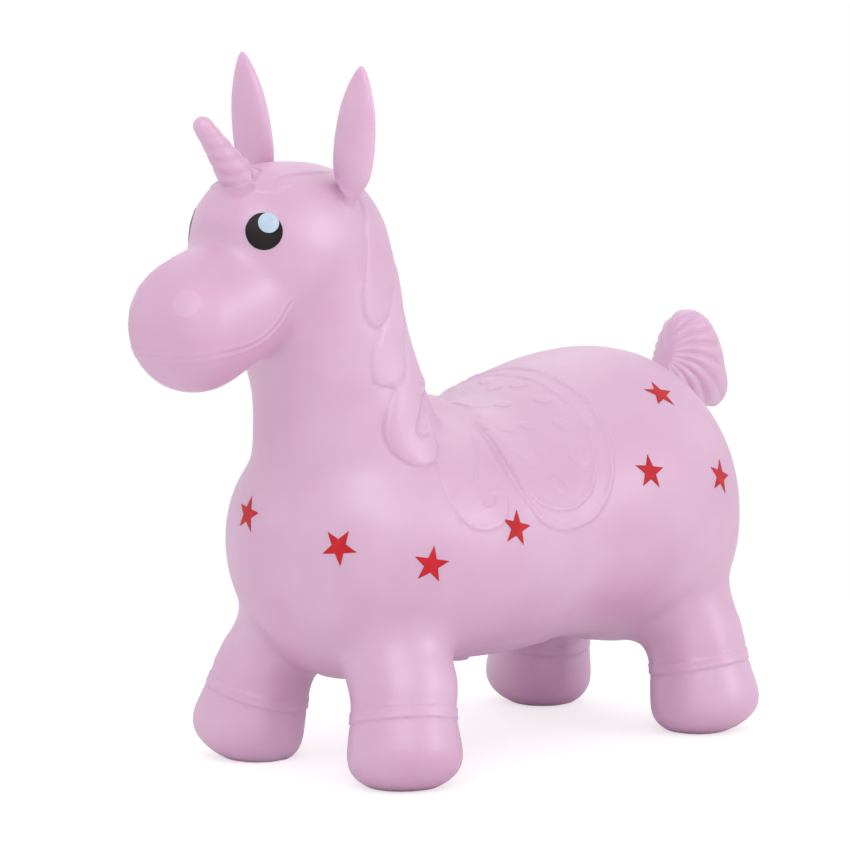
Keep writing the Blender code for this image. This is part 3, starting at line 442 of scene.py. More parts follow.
# Outlines seen from the left, x and z in millimetres.
SADDLE_OUTLINE = (
    (8.0, 300.0), (6.0, 250.0), (2.0, 245.6), (-4.0, 243.9), (-12.0, 241.3), (-23.3, 237.4), (-34.0, 225.7),
    (-37.8, 213.0), (-37.4, 197.8), (-31.2, 185.0), (-24.3, 175.6), (-10.0, 169.7), (5.2, 168.6), (23.6, 172.8),
    (39.2, 184.0), (51.7, 200.9), (61.4, 219.5), (65.9, 233.0), (70.7, 248.0), (73.5, 262.0), (76.0, 271.0),
    (77.5, 300.0),
)
SEAT_OUTLINE = (
    (14.0, 300.0), (12.0, 252.0), (8.0, 247.4), (1.5, 245.0), (-6.0, 242.5), (-17.2, 238.0), (-27.9, 228.0),
    (-33.4, 214.2), (-32.6, 200.8), (-25.0, 188.9), (-14.6, 183.5), (-2.3, 181.2), (13.5, 182.6), (27.8, 190.3),
    (38.1, 202.0), (46.5, 215.4), (52.2, 228.8), (56.6, 242.2), (59.9, 253.6), (62.3, 261.2), (64.3, 267.0),
    (66.0, 300.0),
)
FLAP_OUTLINE = (
    (-10.0, 262.0), (-60.0, 270.0), (-82.0, 245.0), (-92.9, 222.4), (-98.2, 206.1), (-98.1, 192.6), (-91.9, 181.0),
    (-80.6, 175.8), (-66.5, 176.8), (-57.5, 182.4), (-51.5, 192.5), (-51.0, 199.5), (-57.8, 202.2), (-63.0, 200.6),
    (-60.5, 196.5), (-64.2, 192.4), (-69.8, 190.4), (-73.6, 193.5), (-73.4, 201.1), (-65.4, 213.8), (-48.1, 228.5),
    (-34.3, 236.6),
)
MANE_OUTLINE = (
    (-126.0, 414.0), (-128.7, 398.6), (-132.6, 386.4), (-134.5, 373.0), (-137.6, 356.3), (-140.4, 341.3),
    (-141.0, 328.5), (-137.2, 319.2), (-131.0, 315.0), (-124.6, 316.0), (-126.5, 310.5), (-130.9, 303.5),
    (-133.8, 294.9), (-134.1, 284.7), (-132.3, 278.3), (-127.0, 275.0), (-119.6, 273.6), (-117.0, 270.0),
    (-119.8, 266.0), (-124.4, 258.7), (-127.7, 250.5), (-128.8, 242.1), (-125.5, 231.8), (-119.3, 224.7),
    (-111.3, 220.2), (-101.0, 219.6), (-91.3, 223.6), (-84.6, 231.0), (-84.5, 240.0), (-87.5, 252.0), (-84.0, 266.0),
    (-49.0, 281.0), (-11.0, 333.0), (-30.0, 414.0),
)
# The hollow behind the lowest lock, and the furrows that part the locks.
MANE_HOLLOW = (
    (-93.0, 238.6), (-102.5, 237.6), (-106.0, 242.4), (-103.0, 250.0), (-94.8, 262.0), (-86.5, 272.0), (-85.0, 268.0),
    (-87.0, 257.0), (-91.0, 246.0),
)
MANE_FURROWS = (
    ((-124.0, 316.5), (-116.5, 322.5), (-110.0, 336.0), (-101.0, 350.0), (-90.0, 366.0)),
    ((-117.0, 271.5), (-109.5, 276.5), (-103.0, 283.0), (-99.5, 300.0), (-93.0, 318.0), (-83.0, 334.0)),
    ((-110.0, 364.0), (-104.5, 348.0), (-100.0, 332.0), (-95.0, 318.0)),
)
MANE_CURLS = ((-123.9, 326.0), (-110.5, 284.9))
# Forelock, seen from above: x and half-width in millimetres.
FORELOCK_HALF = (
    (-120.8, 14.3), (-140.0, 22.5), (-156.3, 25.8), (-172.9, 26.4), (-185.4, 25.0), (-194.1, 25.6), (-198.5, 27.6),
    (-193.0, 30.2), (-185.1, 32.2), (-186.0, 33.8), (-191.0, 34.2), (-197.3, 32.8), (-204.9, 28.6), (-208.4, 25.0),
    (-210.5, 20.4), (-206.0, 15.0), (-203.0, 8.0), (-202.0, 0.0),
)
# The mouth's middle line on the left from nose to cheek, the cheekbone, and the folds at the roots of ear and horn.
MOUTH_LINE = (
    (-283.0, 0.0, 303.2), (-282.1, -6.3, 303.0), (-278.4, -22.1, 303.4), (-267.9, -34.2, 304.2),
    (-251.6, -39.8, 306.4), (-232.6, -38.7, 308.8), (-218.0, -38.6, 313.1), (-206.8, -40.4, 321.9),
    (-200.6, -41.7, 330.9), (-197.0, -42.4, 335.2),
)
CHEEK_FOLD = ((-201.7, -47.0, 371.6), (-194.9, -49.5, 368.0), (-189.3, -50.9, 365.3), (-183.3, -51.8, 362.4))
EAR_FOLD = (
    (-150.0, -33.0, 417.5), (-151.5, -38.5, 414.8), (-152.0, -43.4, 410.8), (-151.3, -48.5, 405.3),
    (-149.3, -51.3, 401.0),
)
HORN_FOLD = (
    (-224.0, 0.0, 403.0), (-223.2, -7.7, 404.2), (-220.5, -15.9, 404.5), (-213.8, -21.0, 408.6),
    (-207.0, -21.0, 413.3), (-201.2, -18.5, 418.7),
)
NOSTRIL = (-276.3, -26.0, 339.7)
NOSTRIL_RING = 0.0092
NOSTRIL_OUTER = (0.0004, 0.0018)
NOSTRIL_INNER = (0.0002, 0.0016)
NOSTRIL_DISH = 0.0002
# Low oval bumps of the seat, in millimetres.
SEAT_BUMPS = (
    (38.0, 0.0, 262.0), (48.2, -17.5, 263.1), (43.8, -46.2, 254.6), (23.7, -25.8, 250.2), (13.1, -14.0, 247.1),
    (15.4, -58.2, 237.6), (-2.5, -55.1, 235.1), (37.3, -72.8, 238.8), (-12.2, -85.9, 217.6), (7.1, -83.8, 219.7),
    (29.9, -95.1, 216.4), (2.4, -102.3, 200.4),
)
PAD_RADIUS = 0.070
PAD_RISE = 0.0014
VALVE_X = -0.0046


def way_to_line(places, line, closed=False):
    """How far each place is from a line of points, and the direction away from it."""
    best = np.full(len(places), np.inf)
    away = np.zeros_like(places)
    for a, b in zip(line, np.roll(line, -1, axis=0) if closed else line[1:]):
        along = b - a
        share = np.clip((places - a) @ along / (along @ along), 0, 1)
        gap = places - a - share[:, None] * along
        size = np.sqrt((gap**2).sum(1))
        nearer = size < best
        best[nearer] = size[nearer]
        away[nearer] = gap[nearer] / np.maximum(size[nearer], 1e-9)[:, None]
    return best, away


def way_inside(places, normals, outline, axes):
    """How far inside a flat closed outline each place lies, measured along the skin; outside is below zero."""
    flat, tilt = places[:, axes], normals[:, axes]
    size, away = way_to_line(flat, outline, closed=True)
    size = size / np.sqrt(np.maximum(1 - ((away * tilt).sum(1)) ** 2, 0.12))
    inside = np.zeros(len(flat), bool)
    for a, b in zip(outline, np.roll(outline, -1, axis=0)):
        crossed = (a[1] > flat[:, 1]) != (b[1] > flat[:, 1])
        rise = b[1] - a[1] if b[1] != a[1] else 1e-9
        inside ^= crossed & (flat[:, 0] < a[0] + (flat[:, 1] - a[1]) * (b[0] - a[0]) / rise)
    return np.where(inside, size, -size)


def eased(way, width):
    """0 well outside an edge, 1 well inside, with a soft step as wide as width between them."""
    t = np.clip(way / width + 0.5, 0, 1)
    return t * t * (3 - 2 * t)


def hump(way, width):
    return np.exp(-((way / width) ** 2))


def line_of(line, way):
    """A line's height at each distance from it."""
    return line[0] * hump(way, line[1])


side_axes, plan_axes = [0, 2], [0, 1]
outlines = {
    name: np.array(smooth_run(outline, 4, closed=True)) / 1000
    for name, outline in (("saddle", SADDLE_OUTLINE), ("seat", SEAT_OUTLINE), ("flap", FLAP_OUTLINE),
                          ("mane", MANE_OUTLINE), ("hollow", MANE_HOLLOW))
}
furrows = [np.array(smooth_run(line, 4)) / 1000 for line in MANE_FURROWS]
half = [(x / 1000, -y / 1000) for x, y in smooth_run(FORELOCK_HALF, 4)]
forelock_outline = np.array(half + [(x, -y) for x, y in reversed(half[:-1])])
lines = {
    name: np.array(smooth_run(line, 4)) / 1000
    for name, line in (("mouth", MOUTH_LINE), ("cheek", CHEEK_FOLD), ("ear", EAR_FOLD), ("horn", HORN_FOLD))
}


def ways(bm):
    """Every relief feature's distance at every vertex, with places and normals."""
    bm.normal_update()
    places = np.array([v.co for v in bm.verts])
    normals = np.array([v.normal for v in bm.verts])
    left = places.copy()
    left[:, 1] = -np.abs(left[:, 1])
    found = {}
    body = places[:, 2] < BODY_TOP
    for name in ("saddle", "seat", "flap"):
        found[name] = np.where(body, way_inside(places, normals, outlines[name], side_axes), -1)
    found["hollow"] = way_inside(places, normals, outlines["hollow"], side_axes)
    mane = way_inside(places, normals, outlines["mane"], side_axes)
    found["mane"] = np.where((places[:, 0] > MANE_FRONT_X) | (places[:, 2] < MANE_TOP), mane, -1)
    on_top = (places[:, 2] > HEAD_HEIGHT + FORELOCK_FOOT) & (normals[:, 2] > 0.1)
    found["forelock"] = np.where(on_top, way_inside(places, normals, forelock_outline, plan_axes), -1)
    for k, line in enumerate(furrows):
        found[f"furrow_{k}"] = way_to_line(places[:, side_axes], line)[0]
    for name, line in lines.items():
        found[name] = way_to_line(left, line)[0]
    for k, (x, z) in enumerate(MANE_CURLS):
        found[f"curl_{k}"] = np.hypot(places[:, 0] - x / 1000, places[:, 2] - z / 1000)
    found["nostril"] = np.sqrt(((left - np.array(NOSTRIL) / 1000) ** 2).sum(1))
    band = np.full(len(places), 1.0)
    for fore in (-1, 1):
        for side in (-1, 1):
            lean, foot = leg_lean(fore, side), leg_foot(fore, side)
            axis = np.array(lean.normalized())
            gap = places - np.array(foot)
            up = gap @ axis
            off = np.sqrt(((gap - up[:, None] * axis) ** 2).sum(1))
            way = up - BAND_HEIGHT[fore > 0] * lean.length
            band = np.where((off < 0.055) & (np.abs(way) < 0.03), way, band)
    found["band"] = band
    bump = np.full(len(places), 9.0)
    for place, normal in bump_frames:
        run = (BUMP_RUN - normal * BUMP_RUN.dot(normal)).normalized()
        long_way, wide_way = np.array(run), np.array(run.cross(normal))
        gap = left - np.array(place)
        size = np.sqrt((gap @ long_way / BUMP_LENGTH * 2) ** 2 + (gap @ wide_way / BUMP_WIDTH * 2) ** 2)
        near = np.abs(gap @ np.array(normal)) < 0.006
        bump = np.where(near, np.minimum(bump, size), bump)
    found["bump"] = bump
    found["pad"] = np.where(
        (places[:, 2] < BELLY_HEIGHT + 0.02) & (normals[:, 2] < 0),
        PAD_RADIUS - np.hypot(places[:, 0] - VALVE_X, places[:, 1]), -1,
    )
    found["boss"] = found["pad"] - PAD_RADIUS + BOSS_RADIUS
    found["outgrowth"] = np.array([v[on_outgrowth] for v in bm.verts])
    return places, normals, found


tree = BVHTree.FromBMesh(bm)
bump_frames = [tree.find_nearest(Vector(place) / 1000)[:2] for place in SEAT_BUMPS]

# The skin's mesh is made finer along the relief's edges only.
for finest in RELIEF_GRAINS:
    places, normals, found = ways(bm)
    edge_near = np.full(len(places), 1.0)
    for name in ("saddle", "seat", "flap", "mane", "forelock", "hollow"):
        edge_near = np.minimum(edge_near, np.abs(found[name]))
    for name in ("mouth", "ear", "horn", "furrow_0", "furrow_1", "furrow_2"):
        edge_near = np.minimum(edge_near, found[name])
    edge_near = np.minimum(edge_near, np.abs(found["mouth"] - LIP_HALF))
    edge_near = np.minimum(edge_near, np.abs(found["nostril"] - NOSTRIL_RING))
    edge_near = np.minimum(edge_near, np.abs(np.abs(found["band"]) - BAND_HALF))
    edge_near = np.minimum(edge_near, np.abs(found["boss"]) * 0.7)
    edge_near = np.minimum(edge_near, np.abs(found["bump"] - 1) * BUMP_WIDTH / 2)
    wanted = edge_near < finest * RELIEF_REACH
    bm.verts.index_update()
    edges = [
        e for e in bm.edges
        if wanted[e.verts[0].index] and wanted[e.verts[1].index] and e.calc_length() > finest * SHORTEST_EDGE
    ]
    bmesh.ops.subdivide_edges(bm, edges=edges, cuts=1, use_grid_fill=True)
    relaxed(bm, list({v for e in edges if e.is_valid for v in e.verts}))

places, normals, found = ways(bm)
below = eased(FLAP_TOP - places[:, 2], FLAP_FADE)
rise = np.maximum.reduce([
    FLAP_RISE * eased(found["flap"], STEP_WIDTH) * below,
    SADDLE_RISE * eased(found["saddle"], STEP_WIDTH),
    SEAT_RISE * eased(found["seat"], STEP_WIDTH),
])
clear = below * (1 - eased(found["saddle"] + CLEAR_OF_SADDLE[0], CLEAR_OF_SADDLE[1]))
for name, share in RIM_SHARES.items():
    ridge, furrow = (hump(found[name] - place, width) for place, width in (RIM_RIDGE, RIM_FURROW))
    rise += (share * clear if name == "flap" else share) * RIM_RISE * (ridge - RIM_FURROW_SHARE * furrow)
swell = eased(MANE_SWELL_HEIGHT - places[:, 2], MANE_SWELL_RUN)
height, edge = (low + (high - low) * swell for low, high in (MANE_RISE, MANE_EDGE))
inside = np.clip(found["mane"] / edge, 0, 1)
mane = height * np.sqrt(1 - (1 - inside) ** 2)
for k, depth in enumerate(FURROW_DEPTHS):
    mane -= depth * hump(found[f"furrow_{k}"], FURROW_WIDTH) * (inside > 0)
place, depth, width = HOLLOW_EDGE
mane -= depth * eased(found["hollow"] - place, width) * (inside > 0)
for k in range(len(MANE_CURLS)):
    mane += line_of(CURL_LINE, found[f"curl_{k}"]) * (inside > 0)
rise = np.maximum(rise, mane)
place, depth, width = MANE_GROOVE
rise -= depth * hump(found["mane"] - place, width) * (found["mane"] > -0.5)
rise = rise + FORELOCK_RISE * eased(found["forelock"] - FORELOCK_EDGE[0], FORELOCK_EDGE[1])
place, height, width = FORELOCK_RIDGE
rise += height * hump(found["forelock"] - place, width)
band = np.abs(found["band"])
place, height, width = BAND_RIDGE
rise += BAND_RISE * eased(BAND_HALF - band, BAND_STEP) + height * hump(band - BAND_HALF + place, width)
place, depth, width = BAND_GROOVE
rise -= depth * hump(found["band"] + BAND_HALF + place, width)
bump = np.clip(found["bump"], 0, 1)
rise += BUMP_RISE * (1 - bump**4)
rise += BUMP_RING * hump((found["bump"] - BUMP_RING_PLACE) * BUMP_WIDTH / 2, BUMP_RING_WIDTH)
rise += PAD_RISE * eased(found["pad"], STEP_WIDTH) + BOSS_RISE * eased(found["boss"], BOSS_STEP)
rise += LIP_RISE * eased(LIP_HALF - found["mouth"], LIP_STEP) - line_of(MOUTH_CUT, found["mouth"])
rise -= line_of(CHEEK_LINE, found["cheek"])
ring = found["nostril"]
rise += line_of(NOSTRIL_OUTER, ring - NOSTRIL_RING) + line_of(NOSTRIL_INNER, ring - NOSTRIL_RING / 2)
rise -= NOSTRIL_DISH * np.clip(1 - (ring / NOSTRIL_RING) ** 2, 0, 1)
rise *= 1 - found["outgrowth"]
rise += line_of(EAR_LINE, found["ear"]) + line_of(HORN_LINE, found["horn"])
for vert, place, normal, height in zip(bm.verts, places, normals, rise):
    vert.co = place + normal * height
    vert.co.z = max(vert.co.z, 0)
for face in bm.faces:
    face.smooth = True
skin = mesh_object("uncut_skin", bm)

# The stopper's recess and bore, cut up into the belly's boss.
VALVE_Z = 0.0656
# Half of the cut's section: radius and height, for the recess and then the bore.
BORE = ((0.0, -0.004), (0.0090, -0.004), (0.0090, 0.0024), (0.0045, 0.0024), (0.0045, 0.0235), (0.0, 0.0235))
bm = bmesh.new()
profile = [bm.verts.new((radius, 0, height)) for radius, height in BORE]
profile = [bm.edges.new(pair) for pair in zip(profile, profile[1:])]
bmesh.ops.spin(
    bm, geom=profile, axis=(0, 0, 1), cent=(0, 0, 0), angle=2 * math.pi, steps=64, use_merge=True, use_duplicate=False,
)
bmesh.ops.remove_doubles(bm, verts=bm.verts, dist=WELD_GAP / 2)
bmesh.ops.translate(bm, vec=(VALVE_X, 0, VALVE_Z), verts=bm.verts)
bore = mesh_object("bore", bm)
cut = skin.modifiers.new("valve_bore", "BOOLEAN")
cut.operation = "DIFFERENCE"
cut.solver = "EXACT"
cut.object = bore
skin_mesh = applied(skin)
bpy.data.objects.remove(bore)
skin = bpy.data.objects.new("pearl_skin", skin_mesh)
bpy.context.scene.collection.objects.link(skin)

pearl = bpy.data.materials.new("pearl_pvc")
pearl.use_nodes = True
nodes, links = pearl.node_tree.nodes, pearl.node_tree.links
shader = nodes["Principled BSDF"]


def linear(*channels):
    """A screen colour from 0 to 255 as the shader wants it."""
    shares = [c / 255 for c in channels]
    return tuple(s / 12.92 if s <= 0.04045 else ((s + 0.055) / 1.055) ** 2.4 for s in shares) + (1,)


def noise(nodes, links, source, scale, detail=2.0, roughness=0.5):
    texture = nodes.new("ShaderNodeTexNoise")
    texture.inputs["Scale"].default_value = scale
    texture.inputs["Detail"].default_value = detail
    texture.inputs["Roughness"].default_value = roughness
    links.new(source, texture.inputs["Vector"])
    return texture.outputs["Fac"]


def ramp(nodes, links, source, stops):
    """A colour that changes with a value, through stops of (value, colour)."""
    table = nodes.new("ShaderNodeValToRGB")
    table.color_ramp.elements[0].position, table.color_ramp.elements[0].color = stops[0]
    table.color_ramp.elements[1].position, table.color_ramp.elements[1].color = stops[-1]
    for value, colour in stops[1:-1]:
        table.color_ramp.elements.new(value).color = colour
    links.new(source, table.inputs["Fac"])
    return table.outputs["Color"]


def spread(nodes, links, source, low, high, start=0.3, end=0.7):
    """A value moved from the range start to end into the range low to high."""
    change = nodes.new("ShaderNodeMapRange")
    for socket, value in (("From Min", start), ("From Max", end), ("To Min", low), ("To Max", high)):
        change.inputs[socket].default_value = value
    links.new(source, change.inputs["Value"])
    return change.outputs["Result"]


def combined(nodes, links, operation, first, second):
    """Two values multiplied, or the larger of them."""
    maths = nodes.new("ShaderNodeMath")
    maths.operation = operation
    links.new(first, maths.inputs[0])
    links.new(second, maths.inputs[1])
    return maths.outputs["Value"]


def fine_grain():
    """One effect for skin and inks: how uneven a moulded or printed PVC face is, as a height and as a share."""
    group = bpy.data.node_groups.new("fine_grain", "ShaderNodeTree")
    for name, kind, way in (("Place", "NodeSocketVector", "INPUT"), ("Scale", "NodeSocketFloat", "INPUT"),
                            ("Height", "NodeSocketFloat", "OUTPUT"), ("Unevenness", "NodeSocketFloat", "OUTPUT")):
        group.interface.new_socket(name=name, in_out=way, socket_type=kind)
    given, made = group.nodes.new("NodeGroupInput"), group.nodes.new("NodeGroupOutput")
    grain = group.nodes.new("ShaderNodeTexNoise")
    grain.inputs["Detail"].default_value = 3.0
    group.links.new(given.outputs["Place"], grain.inputs["Vector"])
    group.links.new(given.outputs["Scale"], grain.inputs["Scale"])
    broad = group.nodes.new("ShaderNodeMath")
    broad.operation = "MULTIPLY"
    broad.inputs[1].default_value = 0.15
    group.links.new(given.outputs["Scale"], broad.inputs[0])
    uneven = group.nodes.new("ShaderNodeTexNoise")
    group.links.new(given.outputs["Place"], uneven.inputs["Vector"])
    group.links.new(broad.outputs["Value"], uneven.inputs["Scale"])
    group.links.new(grain.outputs["Fac"], made.inputs["Height"])
    group.links.new(uneven.outputs["Fac"], made.inputs["Unevenness"])
    return group


def grained(nodes, links, here, scale, depth):
    """Places the grain in a material: its height bends the light, and its unevenness comes back."""
    group = nodes.new("ShaderNodeGroup")
    group.node_tree = bpy.data.node_groups.get("fine_grain") or fine_grain()
    links.new(here, group.inputs["Place"])
    group.inputs["Scale"].default_value = scale
    bump = nodes.new("ShaderNodeBump")
    bump.inputs["Distance"].default_value = depth
    bump.inputs["Strength"].default_value = 0.35
    links.new(group.outputs["Height"], bump.inputs["Height"])
    links.new(bump.outputs["Normal"], nodes["Principled BSDF"].inputs["Normal"])
    return group.outputs["Unevenness"]


here = nodes.new("ShaderNodeTexCoord").outputs["Object"]
cloud = noise(nodes, links, here, 13.0, 3.0)
links.new(ramp(nodes, links, cloud, (
    (0.30, linear(206, 152, 188)), (0.50, linear(209, 160, 193)), (0.70, linear(213, 169, 200)),
)), shader.inputs["Base Color"])
uneven = grained(nodes, links, here, 420.0, 0.0002)
links.new(spread(nodes, links, uneven, 0.42, 0.50), shader.inputs["Roughness"])
# The pearl's sheen is strongest where the skin faces the eye and fades towards its outline.
facing = nodes.new("ShaderNodeLayerWeight")
facing.inputs["Blend"].default_value = 0.5
links.new(combined(
    nodes, links, "MULTIPLY", spread(nodes, links, noise(nodes, links, here, 9.0, 4.0), 0.60, 1.0),
    spread(nodes, links, facing.outputs["Facing"], 1.0, 0.25, 0.35, 0.95),
), shader.inputs["Coat Weight"])
shader.inputs["Subsurface Weight"].default_value = 0.45
shader.inputs["Subsurface Radius"].default_value = (0.012, 0.005, 0.008)
shader.inputs["Subsurface Scale"].default_value = 1.0
shader.inputs["Specular IOR Level"].default_value = 0.90
shader.inputs["Specular Tint"].default_value = (0.70, 1.0, 0.97, 1)
shader.inputs["Coat IOR"].default_value = 1.75
shader.inputs["Coat Roughness"].default_value = 0.42
skin.data.materials.clear()
skin.data.materials.append(pearl)
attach(skin, "animal")
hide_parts("body_skin")


# Eyes and glints: two round ink prints on each side of the head, a black disc and a pale one over its upper rear. The
# ink is laid on the finished skin with a pad, so it follows the skin and takes its shine.

EYE_RADIUS = 0.0129
GLINT_RADIUS = 0.0071
EYE_PLACE = (-0.2155, 0.0365, 0.3845)
GLINT_SHIFT = (0.0032, 0.0058)
INK = 0.00012
PRINT_LIFT = 0.00010
GLINT_LIFT = 0.00030
PAD_PRESS = 0.006
DISC_RINGS = (1.0, 0.97, 0.85, 0.72, 0.58, 0.44, 0.30, 0.16)
tree = BVHTree.FromObject(skin, bpy.context.evaluated_depsgraph_get())


def on_skin(place):
    """A frame on the skin nearest to a place: Z faces out and Y points up."""
    at, _, _, _ = tree.find_nearest(Vector(place))
    around = [hit[1] for hit in tree.find_nearest_range(at, PAD_PRESS)]
    normal = sum(around, Vector()).normalized()
    up = (Vector((0, 0, 1)) - normal * normal.z).normalized()
    return Matrix.Translation(at) @ Matrix((up.cross(normal), up, normal)).transposed().to_4x4()


def laid(name, bm, lift):
    """Lays a flat print on the skin, lift above it, and gives it the ink's thickness."""
    for vert in bm.verts:
        at, normal, _, _ = tree.find_nearest(vert.co)
        vert.co = at + normal * lift
    bmesh.ops.recalc_face_normals(bm, faces=bm.faces)
    for face in bm.faces:
        face.smooth = True
    outward = sum((f.normal for f in bm.faces), Vector())
    if outward.dot(tree.find_nearest(next(iter(bm.verts)).co)[1]) < 0:
        bmesh.ops.reverse_faces(bm, faces=bm.faces)
    mesh = bpy.data.meshes.new(name)
    bm.to_mesh(mesh)
    bm.free()
    obj = bpy.data.objects.new(name, mesh)
    bpy.context.scene.collection.objects.link(obj)
    film = obj.modifiers.new("film", "SOLIDIFY")
    film.thickness = INK
    film.offset = 1
    return obj


def disc(place, radius):
    """A flat round sheet of rings, fine enough to bend over the skin."""
    bm = bmesh.new()
    loops = []
    for share in DISC_RINGS:
        verts = bmesh.ops.create_circle(bm, radius=radius * share, segments=72)["verts"]
        loops.append((verts, {e for v in verts for e in v.link_edges}))
    for (_, edges_a), (_, edges_b) in zip(loops, loops[1:]):
        bmesh.ops.bridge_loops(bm, edges=list(edges_a | edges_b))
    bm.faces.new(loops[-1][0])
    bmesh.ops.transform(bm, matrix=place, verts=bm.verts)
    return bm


def ink(name, dark, light, roughness, scale):
    """A print with faint unevenness in colour and gloss."""
    material = bpy.data.materials.new(name)
    material.use_nodes = True
    nodes, links = material.node_tree.nodes, material.node_tree.links
    shader = nodes["Principled BSDF"]
    here = nodes.new("ShaderNodeTexCoord").outputs["Object"]
    uneven = grained(nodes, links, here, scale * 6, 0.00005)
    links.new(ramp(nodes, links, uneven, ((0.30, dark), (0.70, light))), shader.inputs["Base Color"])
    links.new(spread(nodes, links, uneven, roughness, roughness + 0.08), shader.inputs["Roughness"])
    shader.inputs["Specular IOR Level"].default_value = 0.20
    return material


eye_black = ink("eye_black", linear(20, 15, 17), linear(30, 23, 24), 0.30, 90.0)
glint_pale = ink("glint_pale", linear(170, 190, 213), linear(190, 206, 223), 0.34, 120.0)
for side, word in ((-1, "left"), (1, "right")):
    place = on_skin((EYE_PLACE[0], side * EYE_PLACE[1], EYE_PLACE[2]))
    eye = laid("eye_print_" + word, disc(place, EYE_RADIUS), PRINT_LIFT)
    eye.data.materials.append(eye_black)
    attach(eye, "animal")
    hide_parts("eye_" + word)
    shift = Matrix.Translation((GLINT_SHIFT[0], GLINT_SHIFT[1], 0))
    glint = laid("glint_print_" + word, disc(place @ shift, GLINT_RADIUS), GLINT_LIFT)
    glint.data.materials.append(glint_pale)
    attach(glint, "animal")
    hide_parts("eye_glint_" + word)


# Stars: plain five-pointed stars in red ink, printed on the chest, flanks and rump. They lie on the skin like the
# eyes, in the same thin ink. The two on the chest are single, and the others are on both sides.

STAR_RADIUS = 0.0134
STAR_WAIST = 0.40
# Each star's name, place on the left side and turn in degrees.
STARS = (
    ("chest_right", (-0.1689, 0.0318, 0.1822), 8), ("chest_left", (-0.1635, -0.0536, 0.1676), 31),
    ("shoulder", (-0.1198, -0.0988, 0.1556), 10), ("girth", (-0.0495, -0.1119, 0.1751), 16),
    ("flank", (0.0857, -0.1124, 0.2014), 9), ("croup", (0.1323, -0.0785, 0.2502), 11),
    ("thigh", (0.1609, -0.1113, 0.1907), 20),
)
star_red = ink("star_red", linear(176, 22, 34), linear(200, 34, 42), 0.36, 110.0)
for name, (x, y, z), turn in STARS:
    for side, word in ((1, ""),) if "chest" in name else ((1, "_left"), (-1, "_right")):
        place = on_skin((x, side * y, z)) @ Matrix.Rotation(math.radians(-side * turn), 4, "Z")
        bm = bmesh.new()
        rim = bmesh.ops.create_circle(bm, cap_ends=True, cap_tris=True, segments=10, radius=STAR_RADIUS)["verts"]
        for vert in rim:
            step = round(math.atan2(vert.co.x, vert.co.y) / (math.pi / 5))
            if vert.co.length > 0 and step % 2:
                vert.co *= STAR_WAIST
        bmesh.ops.subdivide_edges(bm, edges=bm.edges, cuts=5, use_grid_fill=True)
        bmesh.ops.transform(bm, matrix=place, verts=bm.verts)
        star = laid("star_print_" + name + word, bm, PRINT_LIFT)
        star.data.materials.append(star_red)
        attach(star, "animal")
        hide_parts("star_" + name + word)


# The belly stopper: a push-in plug of harder white PVC with barbs on its hollow stem. The child's parent pulls it out
# to let the air go. The CAD's plug keeps its shape and gets the plastic's own finish.

plug_white = ink("plug_white", linear(232, 230, 225), linear(240, 238, 235), 0.42, 200.0)
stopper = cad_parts["valve_stopper"]
for material_slot in stopper.material_slots:
    material_slot.material = plug_white


# The studio: a plain white floor under soft lamps, and the camera a little over 3 m away, in front of the animal's
# left shoulder and just above its head.

FLOOR_SIZE = 12.0
FLOOR_GREY = (0.56, 0.56, 0.56, 1)
FLOOR_LIFT = 0.60
FLOOR_FADE = (0.35, 0.75)
ROOM_LIGHT = 0.88
LAMP_AIM = Vector((0, 0, 0.22))
CAMERA_PLACE = Vector((-2.2580, -2.2429, 0.625))
CAMERA_AIM = Vector((-0.0015, 0.0264, 0.23))
CAMERA_LENS = 191.16

bm = bmesh.new()
bmesh.ops.create_grid(bm, x_segments=8, y_segments=8, size=FLOOR_SIZE / 2)
floor = mesh_object("floor", bm)

# The floor takes the animal's soft shadow, and away from it the camera sees plain white.
white = bpy.data.materials.new("floor_white")
white.use_nodes = True
nodes, links = white.node_tree.nodes, white.node_tree.links
nodes.clear()
matt = nodes.new("ShaderNodeBsdfDiffuse")
here = nodes.new("ShaderNodeTexCoord").outputs["Object"]
glow = nodes.new("ShaderNodeEmission")
glow.inputs["Strength"].default_value = 1.0
far = nodes.new("ShaderNodeVectorMath")
far.operation = "LENGTH"
links.new(here, far.inputs[0])
fade = spread(nodes, links, far.outputs["Value"], 0.0, 1.0, *FLOOR_FADE)
path = nodes.new("ShaderNodeLightPath")
paint = nodes.new("ShaderNodeMix")
paint.data_type = "RGBA"
bare, shown_floor = (s for s in paint.inputs if s.type == "RGBA")
links.new(path.outputs["Is Camera Ray"], paint.inputs["Factor"])
cloud = noise(nodes, links, here, 3.0)
links.new(ramp(nodes, links, cloud, ((0.3, (0.91, 0.91, 0.91, 1)), (0.7, (0.93, 0.93, 0.93, 1)))), bare)
shown_floor.default_value = FLOOR_GREY
links.new(next(s for s in paint.outputs if s.type == "RGBA"), matt.inputs["Color"])
seen = combined(nodes, links, "MULTIPLY", fade, path.outputs["Is Camera Ray"])
lift = nodes.new("ShaderNodeEmission")
links.new(path.outputs["Is Camera Ray"], lift.inputs["Color"])
lift.inputs["Strength"].default_value = FLOOR_LIFT
lifted = nodes.new("ShaderNodeAddShader")
links.new(matt.outputs["BSDF"], lifted.inputs[0])
links.new(lift.outputs["Emission"], lifted.inputs[1])
mixed = nodes.new("ShaderNodeMixShader")
links.new(seen, mixed.inputs["Fac"])
links.new(lifted.outputs["Shader"], mixed.inputs[1])
links.new(glow.outputs["Emission"], mixed.inputs[2])
out = nodes.new("ShaderNodeOutputMaterial")
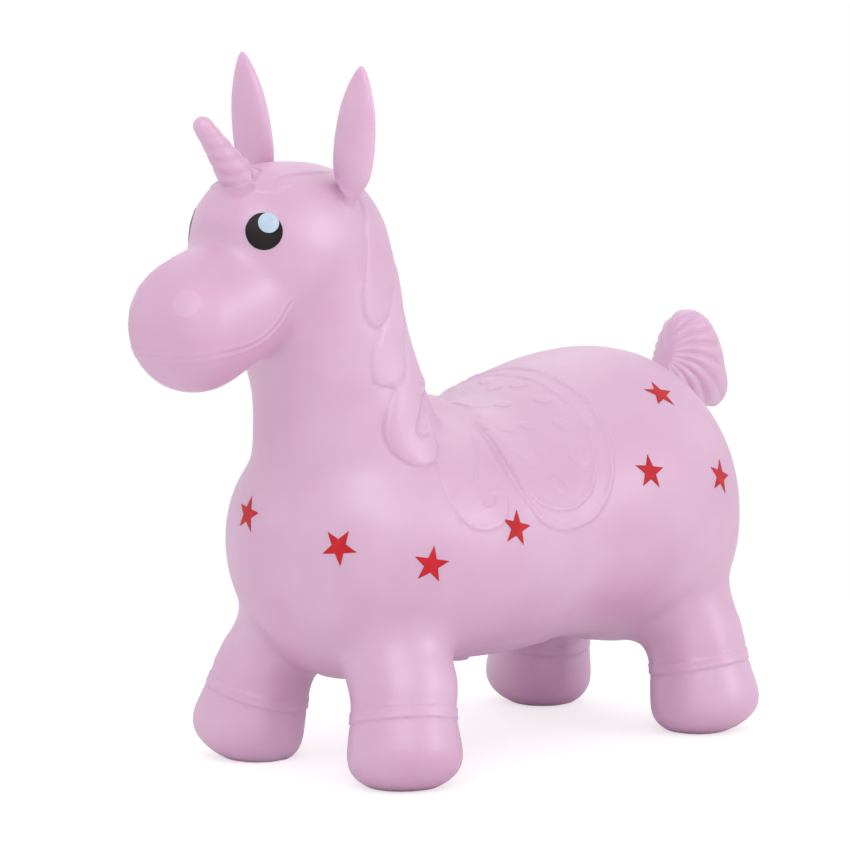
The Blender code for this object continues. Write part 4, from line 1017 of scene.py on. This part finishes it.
links.new(mixed.outputs["Shader"], out.inputs["Surface"])
floor.data.materials.append(white)

# The room lights the animal evenly; the camera and the gloss see a white backdrop.
world = bpy.data.worlds.new("studio")
bpy.context.scene.world = world
world.use_nodes = True
nodes, links = world.node_tree.nodes, world.node_tree.links
room = nodes["Background"]
room.inputs["Color"].default_value = (1, 1, 1, 1)
room.inputs["Strength"].default_value = ROOM_LIGHT
backdrop = nodes.new("ShaderNodeBackground")
backdrop.inputs["Color"].default_value = (1, 1, 1, 1)
backdrop.inputs["Strength"].default_value = 1.0
path = nodes.new("ShaderNodeLightPath")
shown = combined(nodes, links, "MAXIMUM", path.outputs["Is Camera Ray"], path.outputs["Is Glossy Ray"])
shown = combined(nodes, links, "MAXIMUM", shown, path.outputs["Is Transmission Ray"])
mixed = nodes.new("ShaderNodeMixShader")
links.new(shown, mixed.inputs["Fac"])
links.new(room.outputs["Background"], mixed.inputs[1])
links.new(backdrop.outputs["Background"], mixed.inputs[2])
links.new(mixed.outputs["Shader"], nodes["World Output"].inputs["Surface"])


def lamp(name, place, size, watts):
    light = bpy.data.lights.new(name, "AREA")
    light.shape = "DISK"
    light.size = size
    light.energy = watts
    obj = bpy.data.objects.new(name, light)
    obj.location = place
    obj.rotation_mode = "QUATERNION"
    obj.rotation_quaternion = (LAMP_AIM - Vector(place)).to_track_quat("-Z", "Y")
    bpy.context.scene.collection.objects.link(obj)


lamp("soft_key", (-1.6, -1.3, 2.0), 1.8, 14.5)
lamp("soft_side", (1.0, -2.2, 1.1), 1.3, 9.0)
lamp("soft_back", (1.2, 1.4, 1.8), 1.8, 4.0)

camera = bpy.data.objects.new("camera", bpy.data.cameras.new("camera"))
camera.data.sensor_width = 36
camera.data.lens = CAMERA_LENS
camera.location = CAMERA_PLACE
camera.rotation_mode = "QUATERNION"
camera.rotation_quaternion = (CAMERA_AIM - CAMERA_PLACE).to_track_quat("-Z", "Y")
bpy.context.scene.collection.objects.link(camera)
bpy.context.scene.camera = camera
bpy.context.scene.view_settings.view_transform = "Standard"
